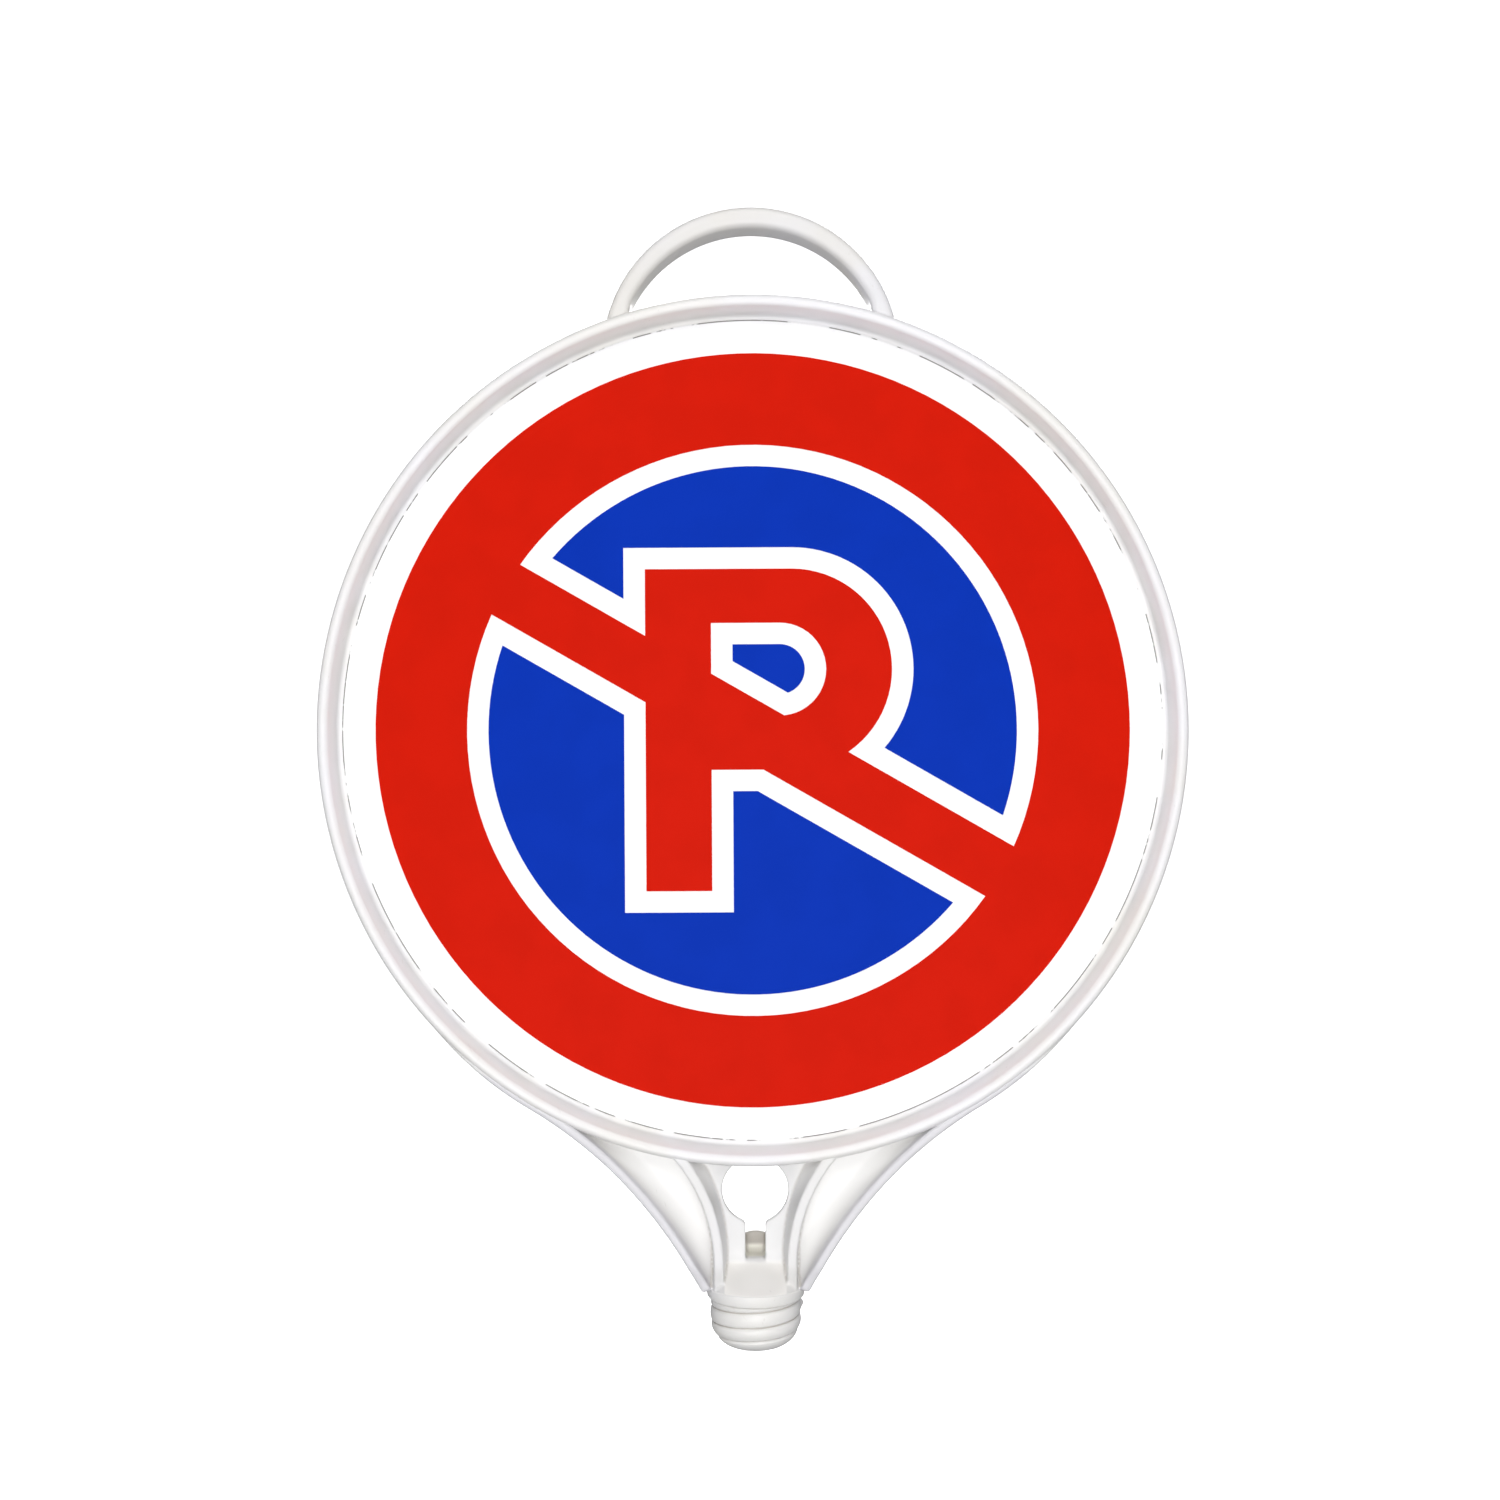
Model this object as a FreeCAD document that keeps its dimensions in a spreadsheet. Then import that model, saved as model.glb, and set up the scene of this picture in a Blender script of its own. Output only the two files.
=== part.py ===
"""Screw-in sign head: a round two-sided panel with a raised rim, a carrying handle, a ribbed
neck with a chain keyhole and a threaded spigot that screws into the top of a plastic post.

Frame: millimetres, +Z up, the sign's front faces -Y. The origin is the centre of the flat
underside of the collar, which seats on the post's mouth, so the spigot hangs below z = 0.
"""
import FreeCAD, Part
import math
import os
import Sketcher

V = FreeCAD.Vector
SIDES = (("left", "-1"), ("right", "1"))
SAME_POINT = 1e-6

# Driving dimensions, in millimetres and degrees.
SIZES = {
    # disc
    "rim_outer_radius": 150.0,
    "rim_half_depth": 10.0,
    "bead_width": 4.4,
    "bead_height": 3.0,
    "bead_arc_radius": 3.96,
    "bead_lip": 1.4,
    "rim_slope_run": 2.6,
    "panel_thickness": 4.0,
    # carrying handle: two arcs whose centres lie below the rim's highest point
    "handle_outer_radius": 51.3,
    "handle_outer_drop": 20.8,
    "handle_inner_radius": 46.1,
    "handle_inner_drop": 22.8,
    "handle_depth": 15.0,
    "handle_foot_drop": 14.0,
    "handle_edge_radius": 2.6,
    # neck
    "neck_length": 46.0,
    "neck_arc_radius": 159.0,
    "flange_overhang": 0.59,
    "flange_proud": 1.2,
    "flange_width": 3.0,
    "flange_foot": 2.5,
    "foot_gap": 0.2,
    "web_thickness": 3.0,
    "neck_half_depth_top": 9.0,
    "neck_half_depth_low": 11.5,
    "neck_low_rise": 8.0,
    "rib_width": 3.3,
    "rib_inset": 4.9,
    "rib_foot_margin": 0.05,
    "rib_arc_radius": 57.0,
    "rib_leg_length": 8.5,
    # chain keyhole: its centre lies below the rim, its slot's floor above the collar
    "keyhole_radius": 11.45,
    "keyhole_drop": 9.7,
    "slot_half_width": 3.45,
    "slot_floor_rise": 8.4,
    "pocket_depth": 10.0,
    "pocket_wall": 2.5,
    "pocket_arch_radius": 9.3,
    "pocket_arch_rise": 6.7,
    # collar and spigot
    "collar_height": 4.0,
    "collar_flare": 0.6,
    "collar_edge": 0.5,
    "seat_width": 0.9,
    "skirt_radius": 15.5,
    "skirt_tip_radius": 1.0,
    "skirt_gap": 0.8,
    "spigot_root_depth": 3.0,
    "root_margin": 0.2,
    "relief_step": 0.7,
    "relief_length": 1.0,
    "relief_rise": 0.3,
    "thread_radius": 15.8,
    "thread_pitch": 5.2,
    "thread_turns": 2.1,
    "groove_depth": 0.9,
    "groove_flat": 0.6,
    "groove_mouth": 3.3,
    "groove_overcut": 0.5,
    "spigot_length": 17.5,
    "nose_radius": 9.8,
    "nose_lip": 1.4,
    "core_depth": 15.0,
    # printed face
    "sheet_margin": 0.7,
    "sheet_thickness": 0.5,
    "film_thickness": 0.2,
    "sheet_border": 11.6,
    "ring_width": 31.7,
    "keyline": 7.45,
    "slash_width": 19.9,
    "slash_angle": 30.0,
    "letter_left": -37.1,
    "letter_top": 56.0,
    "letter_foot": -55.6,
    "stem_width": 22.8,
    "bowl_radius": 34.8,
    "bowl_centre": 13.6,
    "counter_radius": 16.1,
    "counter_centre": 9.5,
}

# Sizes and places worked out from the driving dimensions, as expressions.
RIM_R = "sizes.rim_outer_radius"
DISC_Z = f"({RIM_R} + sizes.neck_length)"
PANEL_R = f"({RIM_R} - sizes.bead_width - sizes.rim_slope_run)"
WEB_Y = "(sizes.web_thickness / 2)"
PANEL_Y = "(sizes.panel_thickness / 2)"
SHEET_Y = f"({PANEL_Y} + sizes.sheet_thickness)"
FILM_Y = f"({SHEET_Y} + sizes.film_thickness)"

# collar and spigot
ROOT_R = "(sizes.thread_radius + sizes.root_margin)"
RELIEF_R = "(sizes.thread_radius - sizes.relief_step)"
SEAT_R = f"({ROOT_R} + sizes.seat_width)"
COLLAR_R = f"({SEAT_R} + sizes.collar_flare)"
CORE_R = "(sizes.thread_radius - sizes.nose_radius - sizes.nose_lip)"
SLOT_FLOOR = "(sizes.collar_height + sizes.slot_floor_rise)"
KEYHOLE_Z = "(sizes.neck_length - sizes.keyhole_drop)"

# Hollow side of the neck: its arc ends at the flange's foot and runs into the rim above.
ARC_R = "sizes.neck_arc_radius"
REACH = f"({RIM_R} + {ARC_R} + sizes.flange_proud)"
NEAR = f"(({RIM_R} + sizes.flange_proud) / {REACH})"
NEAR_X = f"({NEAR} * places.arc_x)"
NEAR_Z = f"({DISC_Z} - {NEAR} * ({DISC_Z} - places.arc_z))"

# ribs
RIB_SPREAD = f"({COLLAR_R} - sizes.rib_inset)"
RIB_X = f"({RIB_SPREAD} + sizes.rib_arc_radius)"
RIB_ARC_Z = "(sizes.collar_height + sizes.rib_leg_length)"
RIB_EDGE = f"({RIB_SPREAD} + sizes.rib_width / 2)"
FOOT_Y = f"(sqrt({COLLAR_R} * {COLLAR_R} - {RIB_EDGE} * {RIB_EDGE}) - sizes.rib_foot_margin)"
LOW_Z = "(sizes.collar_height + sizes.neck_low_rise)"

# printed face
SHEET_R = f"({PANEL_R} - sizes.sheet_margin)"
RING_OUT = f"({SHEET_R} - sizes.sheet_border)"
RING_IN = f"({RING_OUT} - sizes.ring_width)"
BOWL_Z = "(sizes.letter_top - sizes.bowl_radius)"
STEM_RIGHT = "(sizes.letter_left + sizes.stem_width)"
SLASH_LENGTH = f"(2 * {RING_IN} + sizes.keyline)"

# Centre of each hollow side's arc, the right one: one arc radius from the flange's foot and
# one reach from the disc's centre. Each formula may use the ones above it.
PLACES = {
    "foot_x": f"{COLLAR_R} + sizes.flange_overhang",
    "foot_drop": f"{DISC_Z} - sizes.flange_foot",
    "foot_far": "sqrt(foot_x * foot_x + foot_drop * foot_drop)",
    "along": f"({REACH} * {REACH} - {ARC_R} * {ARC_R} + foot_far * foot_far) / (2 * foot_far)",
    "aside": f"sqrt({REACH} * {REACH} - along * along)",
    "arc_x": "(along * foot_x + aside * foot_drop) / foot_far",
    "arc_z": f"{DISC_Z} - (along * foot_drop - aside * foot_x) / foot_far",
}

doc = FreeCAD.newDocument("sign_head")
sheet = doc.addObject("Spreadsheet::Sheet", "sizes")
for row, (name, size) in enumerate(SIZES.items(), start=1):
    sheet.set(f"A{row}", name)
    sheet.set(f"B{row}", str(size))
    sheet.setAlias(f"B{row}", name)
doc.recompute()
places = doc.addObject("Spreadsheet::Sheet", "places")
for row, (name, formula) in enumerate(PLACES.items(), start=1):
    places.set(f"A{row}", name)
    places.set(f"B{row}", f"={formula}")
    places.setAlias(f"B{row}", name)
doc.recompute()


def number(expression):
    """The present value of an expression on the sheet."""
    value = sheet.evalExpression(str(expression))
    return float(getattr(value, "Value", value))


def bind(obj, **properties):
    """Tie properties of an object to expressions on the sheet."""
    for name, expression in properties.items():
        obj.setExpression(name.replace("__", "."), str(expression))
    return obj


def place(obj, at_x="0", at_y="0", at_z="0"):
    """Tie an object's position to expressions on the sheet."""
    for letter, expression in zip("xyz", (at_x, at_y, at_z)):
        obj.setExpression(f"Placement.Base.{letter}", str(expression))
    return obj


def disc(name, radius, half_depth, at_x="0", at_z="0", front=None):
    """A round slab on an axis along Y. It runs from -front to half_depth, or +-half_depth."""
    obj = doc.addObject("Part::Cylinder", name)
    ahead = half_depth if front is None else front
    bind(obj, Radius=radius, Height=f"{ahead} + {half_depth}")
    obj.Placement = FreeCAD.Placement(V(), FreeCAD.Rotation(V(1, 0, 0), -90))
    return place(obj, at_x, f"-({ahead})", at_z)


def block(name, low, high):
    """A box between two corners, each three expressions."""
    obj = doc.addObject("Part::Box", name)
    sides = [f"({b}) - ({a})" for a, b in zip(low, high)]
    bind(obj, Length=sides[0], Width=sides[1], Height=sides[2])
    return place(obj, *low)


def fuse(name, *objects):
    obj = doc.addObject("Part::MultiFuse", name)
    obj.Shapes = list(objects)
    return obj


def cut(name, base, *tools):
    """The base with each tool cut from it in turn."""
    for step, tool in enumerate(tools, start=1):
        last = step == len(tools)
        obj = doc.addObject("Part::Cut", name if last else f"{name}_cut_{step}")
        obj.Base = base
        obj.Tool = tool
        base = obj
    return base


def common(name, first, second):
    obj = doc.addObject("Part::Common", name)
    obj.Base = first
    obj.Tool = second
    return obj


def new_sketch(body, role, name):
    """An empty sketch on one of a body's own origin planes."""
    plane = next(f for f in body.Origin.OriginFeatures if f.Role == role)
    sketch = body.newObject("Sketcher::SketchObject", name)
    sketch.AttachmentSupport = [(plane, "")]
    sketch.MapMode = "FlatFace"
    return sketch


def outline(sketch, corners, rounds=None):
    """A closed outline through corners, each a pair of expressions.

    rounds maps the index of a side to (radius, bulge): that side is an arc of the radius, on
    the left of its own direction for a bulge of 1 and on the right for -1.
    """
    rounds = rounds or {}
    points = [V(number(x), number(y), 0) for x, y in corners]
    count = len(points)
    for i, start in enumerate(points):
        end = points[(i + 1) % count]
        if i not in rounds:
            sketch.addGeometry(Part.LineSegment(start, end), False)
            continue
        radius, bulge = rounds[i]
        size = number(radius)
        chord = end - start
        left = V(-chord.y, chord.x, 0).normalize() * bulge
        centre = (start + end) * 0.5 - left * (size * size - (chord.Length / 2) ** 2) ** 0.5
        angles = [math.atan2(p.y - centre.y, p.x - centre.x) for p in (start, end)]
        if (angles[1] - angles[0]) % (2 * math.pi) > math.pi:
            angles.reverse()
        circle = Part.Circle(centre, V(0, 0, 1), size)
        sketch.addGeometry(Part.ArcOfCircle(circle, *angles), False)
    ends = {}
    for i in range(count):
        first, last = 1, 2
        if i in rounds and sketch.Geometry[i].StartPoint.distanceToPoint(points[i]) > SAME_POINT:
            first, last = 2, 1
        ends[i] = (first, last)
    for i in range(count):
        following = (i + 1) % count
        sketch.addConstraint(
            Sketcher.Constraint("Coincident", i, ends[i][1], following, ends[following][0])
        )
    for i, pair in enumerate(corners):
        for kind, expression in zip(("DistanceX", "DistanceY"), pair):
            rule = Sketcher.Constraint(kind, -1, 1, i, ends[i][0], number(expression))
            index = sketch.addConstraint(rule)
            sketch.setExpression(f"Constraints[{index}]", str(expression))
    for i, (radius, bulge) in rounds.items():
        index = sketch.addConstraint(Sketcher.Constraint("Radius", i, number(radius)))
        sketch.setExpression(f"Constraints[{index}]", str(radius))


def revolved(name, role, corners, rounds=None):
    """A body turned from an outline about its sketch's vertical axis."""
    body = doc.addObject("PartDesign::Body", name)
    sketch = new_sketch(body, role, f"{name}_section")
    outline(sketch, corners, rounds)
    turn = body.newObject("PartDesign::Revolution", f"{name}_turn")
    turn.Profile = sketch
    turn.ReferenceAxis = (sketch, ["V_Axis"])
    turn.Angle = 360
    return body


# ---- disc: flat panel and the rim round it --------------------------------------------

def make_rim():
    """Ring with a rounded bead on each face and walls that slope in to the panel."""
    top = "sizes.rim_half_depth"
    half = [
        (RIM_R, f"{top} - sizes.bead_height"),
        (f"{RIM_R} - sizes.bead_width / 2", top),
        (f"{RIM_R} - sizes.bead_width", f"{top} - sizes.bead_lip"),
        (PANEL_R, PANEL_Y),
    ]
    mirrored = [(x, f"-({y})") for x, y in reversed(half)]
    rounds = {side: ("sizes.bead_arc_radius", -1) for side in (0, 1, 5, 6)}
    rim = revolved("rim", "XY_Plane", half + mirrored, rounds)
    return place(rim, at_z=DISC_Z)


def make_handle(rim_disc):
    """Arched handle, thickest at its top, whose feet stand on the rim's outer wall."""
    body = doc.addObject("PartDesign::Body", "handle_arch")
    sketch = new_sketch(body, "XZ_Plane", "handle_section")
    foot = f"({RIM_R} - sizes.handle_foot_drop)"
    reach = {}
    for side in ("outer", "inner"):
        radius = f"sizes.handle_{side}_radius"
        fall = f"(sizes.handle_foot_drop - sizes.handle_{side}_drop)"
        reach[side] = f"sqrt({radius} * {radius} - {fall} * {fall})"
    corners = [
        (reach["outer"], foot),
        (f"-({reach['outer']})", foot),
        (f"-({reach['inner']})", foot),
        (reach["inner"], foot),
    ]
    outline(sketch, corners, {0: ("sizes.handle_outer_radius", -1),
                              2: ("sizes.handle_inner_radius", 1)})
    pad = body.newObject("PartDesign::Pad", "handle_pad")
    pad.Profile = sketch
    pad.SideType = "Symmetric"
    bind(pad, Length="sizes.handle_depth")
    doc.recompute()
    edges = [
        f"Edge{i}" for i, edge in enumerate(pad.Shape.Edges, start=1)
        if isinstance(edge.Curve, Part.Circle)
    ]
    rounding = body.newObject("PartDesign::Fillet", "handle_rounding")
    rounding.Base = (pad, edges)
    bind(rounding, Radius="sizes.handle_edge_radius")
    body.Tip = rounding
    place(body, at_z=DISC_Z)
    return cut("carry_handle", body, rim_disc)


# ---- neck: web, flanges and ribs --------------------------------------------------------

def neck_envelope():
    """Solid whose front and back follow the neck's depth, seen from the side."""
    body = doc.addObject("PartDesign::Body", "neck_envelope")
    sketch = new_sketch(body, "YZ_Plane", "neck_side")
    profile = [
        (FOOT_Y, "sizes.flange_foot"),
        (FOOT_Y, "sizes.collar_height"),
        ("sizes.neck_half_depth_low", LOW_Z),
        ("sizes.neck_half_depth_top", "sizes.neck_length"),
        ("sizes.neck_half_depth_top", DISC_Z),
    ]
    outline(sketch, profile + [(f"-({x})", y) for x, y in reversed(profile)])
    pad = body.newObject("PartDesign::Pad", "neck_side_pad")
    pad.Profile = sketch
    pad.SideType = "Symmetric"
    bind(pad, Length=f"2 * {RIM_R}")
    return body


def side_cylinder(name, sign, grow="0"):
    """Cylinder that shapes the neck's hollow side, grown inwards by an offset."""
    return disc(name, f"{ARC_R} + {grow}", RIM_R, f"{sign} * places.arc_x", "places.arc_z")


def rib_band(name, sign):
    """Plan of one curved rib: an arc from the rim that runs straight down to the collar."""
    arcs = []
    for part, offset in (("outside", "sizes.rib_width / 2"), ("inside", "-sizes.rib_width / 2")):
        radius = f"sizes.rib_arc_radius + {offset}"
        arcs.append(disc(f"{name}_{part}", radius, RIM_R, f"{sign} * {RIB_X}", RIB_ARC_Z))
    ring = cut(f"{name}_ring", *arcs)
    near, far = ("0", RIB_X) if sign == "1" else (f"-{RIB_X}", "0")
    quarter = block(f"{name}_quarter", (near, f"-{RIM_R}", RIB_ARC_Z), (far, RIM_R, DISC_Z))
    arc = common(f"{name}_arc", ring, quarter)
    edges = sorted((f"{sign} * ({RIB_EDGE} - sizes.rib_width)", f"{sign} * {RIB_EDGE}"),
                   key=number)
    leg = block(f"{name}_leg", (edges[0], f"-{RIM_R}", "sizes.collar_height"),
                (edges[1], RIM_R, RIB_ARC_Z))
    return fuse(f"{name}_plan", arc, leg)


def keyhole_tool():
    """Round hole with a slot below it that narrows to grip a chain link."""
    deep = "sizes.neck_half_depth_low"
    hole = disc("keyhole_round", "sizes.keyhole_radius", deep, at_z=KEYHOLE_Z)
    slot = block("keyhole_slot", ("-sizes.slot_half_width", f"-{deep}", SLOT_FLOOR),
                 ("sizes.slot_half_width", "sizes.pocket_depth", KEYHOLE_Z))
    return fuse("keyhole", hole, slot)


def pocket_block():
    """Round-topped block behind the slot, whose back wall stops a chain link."""
    back = "sizes.pocket_depth + sizes.pocket_wall"
    centre = f"{SLOT_FLOOR} + sizes.pocket_arch_rise - sizes.pocket_arch_radius"
    return disc("pocket_block", "sizes.pocket_arch_radius", back, at_z=centre,
                front=f"-({WEB_Y})")


def between_ribs():
    """Region between the two ribs' middle lines."""
    low = block("middle_low", (f"-{RIB_SPREAD}", f"-{RIM_R}", "0"),
                (RIB_SPREAD, RIM_R, RIB_ARC_Z))
    wide = block("middle_wide", (f"-{RIB_X}", f"-{RIM_R}", RIB_ARC_Z), (RIB_X, RIM_R, DISC_Z))
    arcs = [disc(f"middle_{side}", "sizes.rib_arc_radius", f"2 * {RIM_R}", f"{sign} * {RIB_X}",
                 RIB_ARC_Z)
            for side, sign in SIDES]
    return fuse("middle_region", low, cut("middle_upper", wide, *arcs))


def outside_rib(side, sign):
    """Region on one side, outside that rib's middle line."""
    arc = disc(f"{side}_beyond_arc", "sizes.rib_arc_radius", RIM_R, f"{sign} * {RIB_X}",
               RIB_ARC_Z)
    edges = sorted((f"{sign} * {RIB_SPREAD}", f"{sign} * {RIB_X}"), key=number)
    low = block(f"{side}_beyond_low", (edges[0], f"-{RIM_R}", "0"),
                (edges[1], RIM_R, RIB_ARC_Z))
    edges = sorted((f"{sign} * {RIB_X}", f"{sign} * 2 * {RIM_R}"), key=number)
    far = block(f"{side}_beyond_far", (edges[0], f"-{RIM_R}", "0"), (edges[1], RIM_R, DISC_Z))
    return fuse(f"{side}_beyond", arc, low, far)


def collar_spaces(collar):
    """Space that the collar and the spigot's root take, and the box that clears its edge."""
    root = doc.addObject("Part::Cylinder", "root_space")
    bind(root, Radius=ROOT_R, Height="sizes.spigot_root_depth")
    clear = f"({COLLAR_R} + sizes.foot_gap)"
    beside = block("beside_collar", (f"-{clear}", f"-{RIM_R}", "0"),
                   (clear, RIM_R, "sizes.collar_height"))
    return fuse("collar_space", collar, root), beside


def make_neck(rim_disc, collar):
    """Web plates, side flanges and curved ribs, cut where they meet each other."""
    seat, beside = collar_spaces(collar)
    envelope = neck_envelope()
    web = block("web_slab", (f"-({NEAR_X})", f"-({WEB_Y})", "sizes.collar_height"),
                (NEAR_X, WEB_Y, NEAR_Z))
    ribs = {side: rib_band(f"{side}_rib_band", sign) for side, sign in SIDES}
    nodes = {}
    for side, sign in SIDES:
        hollow = side_cylinder(f"{side}_hollow", sign)
        inner = side_cylinder(f"{side}_inner", sign, "sizes.flange_width")
        edges = sorted(("0", f"{sign} * {NEAR_X}"), key=number)
        plan = block(f"{side}_plan", (edges[0], f"-{RIM_R}", "sizes.flange_foot"),
                     (edges[1], RIM_R, NEAR_Z))
        band = common(f"{side}_band", plan, inner)
        deep = common(f"{side}_band_depth", band, envelope)
        nodes[f"{side}_flange"] = cut(f"{side}_flange", deep, hollow, rim_disc, beside, seat)
        rib = common(f"{side}_rib_depth", ribs[side], envelope)
        nodes[f"{side}_rib"] = cut(f"{side}_rib", rib, rim_disc, seat)
        panel = common(f"{side}_panel_blank", web, outside_rib(side, sign))
        nodes[f"{side}_panel"] = cut(f"{side}_panel", panel, inner, ribs[side], rim_disc, seat)
    middle = common("web_middle", web, between_ribs())
    blank = fuse("keyhole_web_blank", middle, pocket_block())
    nodes["keyhole_web"] = cut("keyhole_web", blank, keyhole_tool(), rim_disc, seat,
                               ribs["left"], ribs["right"])
    return nodes


# ---- collar and spigot --------------------------------------------------------------------

def make_collar():
    """Collar that seats on the post, with a domed skirt that rises to the web."""
    top = f"({SLOT_FLOOR} - sizes.skirt_gap)"
    corners = [
        ("0", "sizes.spigot_root_depth"),
        (ROOT_R, "sizes.spigot_root_depth"),
        (ROOT_R, "0"),
        (SEAT_R, "0"),
        (COLLAR_R, "sizes.collar_height - sizes.collar_edge"),
        (f"{COLLAR_R} - sizes.collar_edge", "sizes.collar_height"),
        ("sizes.skirt_tip_radius", top),
        ("0", top),
    ]
    return revolved("shoulder_collar", "XZ_Plane", corners, {5: ("sizes.skirt_radius", 1)})


def make_spigot():
    """Spigot with broad thread ridges, a rounded nose and a cored middle."""
    crest = "sizes.thread_radius"
    end = "-sizes.spigot_length"
    core_roof = "(sizes.core_depth - sizes.spigot_length)"
    corners = [
        ("0", "sizes.spigot_root_depth"),
        ("0", core_roof),
        (CORE_R, core_roof),
        (CORE_R, end),
        (f"{crest} - sizes.nose_radius", end),
        (crest, "sizes.nose_radius - sizes.spigot_length"),
        (crest, "-sizes.relief_length"),
        (RELIEF_R, "-sizes.relief_length"),
        (RELIEF_R, "sizes.relief_rise"),
        (ROOT_R, "sizes.relief_rise"),
        (ROOT_R, "sizes.spigot_root_depth"),
    ]
    body = revolved("threaded_spigot", "XZ_Plane", corners, {4: ("sizes.nose_radius", -1)})
    sketch = new_sketch(body, "XZ_Plane", "groove_section")
    low = "-(sizes.thread_turns * sizes.thread_pitch + sizes.relief_length)"
    clear = f"({crest} + sizes.groove_overcut)"
    bottom = f"({crest} - sizes.groove_depth)"
    outline(sketch, [
        (clear, f"{low} - sizes.groove_mouth / 2"),
        (bottom, f"{low} - sizes.groove_flat / 2"),
        (bottom, f"{low} + sizes.groove_flat / 2"),
        (clear, f"{low} + sizes.groove_mouth / 2"),
    ])
    doc.recompute()
    groove = body.newObject("PartDesign::SubtractiveHelix", "thread_groove")
    groove.Profile = sketch
    groove.ReferenceAxis = (sketch, ["V_Axis"])
    groove.Mode = 0
    bind(groove, Pitch="sizes.thread_pitch", Height="sizes.thread_turns * sizes.thread_pitch")
    body.Tip = groove
    return body


# ---- printed face -----------------------------------------------------------------------

def film_slab(name, low_x, low_z, high_x, high_z, front=FILM_Y):
    """Thin box on the sheeting's face, placed from the disc's centre."""
    return block(name, (low_x, f"-({front})", f"{DISC_Z} + {low_z}"),
                 (high_x, f"-({SHEET_Y})", f"{DISC_Z} + {high_z}"))


def film_disc(name, radius, at_x="0", rise="0"):
    """Thin round slab on the sheeting's face, placed from the disc's centre."""
    return disc(name, radius, f"-({SHEET_Y})", at_x, f"{DISC_Z} + {rise}", front=FILM_Y)


def slash(name, extra="0"):
    """Slanting bar through the disc's centre, down to the right, widened by extra each side."""
    bar = doc.addObject("Part::Box", name)
    width = f"(sizes.slash_width + 2 * {extra})"
    bind(bar, Length=SLASH_LENGTH, Width=f"{FILM_Y} - {SHEET_Y}", Height=width)
    bar.Placement = FreeCAD.Placement(V(), FreeCAD.Rotation(V(0, 1, 0), SIZES["slash_angle"]))
    bind(bar, Placement__Rotation__Angle="sizes.slash_angle")
    across = f"{SLASH_LENGTH} / 2"
    lean = "sizes.slash_angle * 1deg"
    at_x = f"-{across} * cos({lean}) - {width} / 2 * sin({lean})"
    at_z = f"{DISC_Z} + {across} * sin({lean}) - {width} / 2 * cos({lean})"
    return place(bar, at_x, f"-({FILM_Y})", at_z)


def letter(name, grow="0"):
    """Outside of the letter: a stem and a round bowl, grown by an offset."""
    stem = film_slab(f"{name}_stem", f"sizes.letter_left - {grow}", f"sizes.letter_foot - {grow}",
                     f"{STEM_RIGHT} + {grow}", f"sizes.letter_top + {grow}")
    reach = f"(sizes.bowl_radius + {grow})"
    bowl = film_disc(f"{name}_bowl", reach, "sizes.bowl_centre", BOWL_Z)
    arms = film_slab(f"{name}_arms", "sizes.letter_left", f"{BOWL_Z} - {reach}",
                     "sizes.bowl_centre", f"{BOWL_Z} + {reach}")
    return fuse(name, stem, bowl, arms)


def counter(name, shrink="0"):
    """Opening inside the letter's bowl, shrunk by an offset."""
    reach = f"(sizes.counter_radius - {shrink})"
    round_end = film_disc(f"{name}_end", reach, "sizes.counter_centre", BOWL_Z)
    flat = film_slab(f"{name}_flat", f"{STEM_RIGHT} + {shrink}", f"{BOWL_Z} - {reach}",
                     "sizes.counter_centre", f"{BOWL_Z} + {reach}")
    return fuse(name, round_end, flat)


def make_face():
    """White sheeting and the coloured films that lie on it, with white keylines between."""
    nodes = {}
    nodes["front_sheeting"] = disc("front_sheeting", SHEET_R, f"-({PANEL_Y})", at_z=DISC_Z,
                                   front=SHEET_Y)
    ring = cut("ring", film_disc("ring_outside", RING_OUT), film_disc("ring_inside", RING_IN))
    bar = common("slash_in_ring", slash("slash_bar"),
                 film_disc("ring_middle", f"({RING_IN} + sizes.keyline)"))
    open_letter = cut("open_letter", letter("letter_outside"), counter("letter_counter"))
    nodes["red_film"] = fuse("red_film", ring, bar, open_letter)
    field = film_disc("field", f"({RING_IN} - sizes.keyline)")
    clear_bar = slash("slash_clear", "sizes.keyline")
    clear_letter = letter("letter_clear", "sizes.keyline")
    open_field = cut("open_field", field, clear_bar, clear_letter)
    for name, angle in (("blue_upper_field", 0), ("blue_lower_field", 180)):
        half = doc.addObject("Part::Box", f"{name}_half")
        bind(half, Length=f"2 * {RING_OUT}", Width=FILM_Y, Height=f"2 * {RING_OUT}")
        half.Placement = FreeCAD.Placement(V(), FreeCAD.Rotation(V(0, 1, 0), 1))
        bind(half, Placement__Rotation__Angle=f"sizes.slash_angle + {angle}")
        turn = f"(sizes.slash_angle + {angle}) * 1deg"
        place(half, f"-{RING_OUT} * cos({turn})", f"-({FILM_Y})",
              f"{DISC_Z} + {RING_OUT} * sin({turn})")
        nodes[name] = common(name, open_field, half)
    nodes["blue_counter"] = cut("blue_counter", counter("counter_blue", "sizes.keyline"),
                                clear_bar)
    return nodes


# ---- assembly ---------------------------------------------------------------------------

rim_disc = disc("rim_disc", RIM_R, RIM_R, at_z=DISC_Z)
collar = make_collar()
NODES = {
    "face_panel": disc("face_panel", PANEL_R, PANEL_Y, at_z=DISC_Z),
    "rim": make_rim(),
    "carry_handle": make_handle(rim_disc),
    "shoulder_collar": collar,
    "threaded_spigot": make_spigot(),
}
NODES.update(make_neck(rim_disc, collar))
NODES.update(make_face())
doc.recompute()

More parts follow.
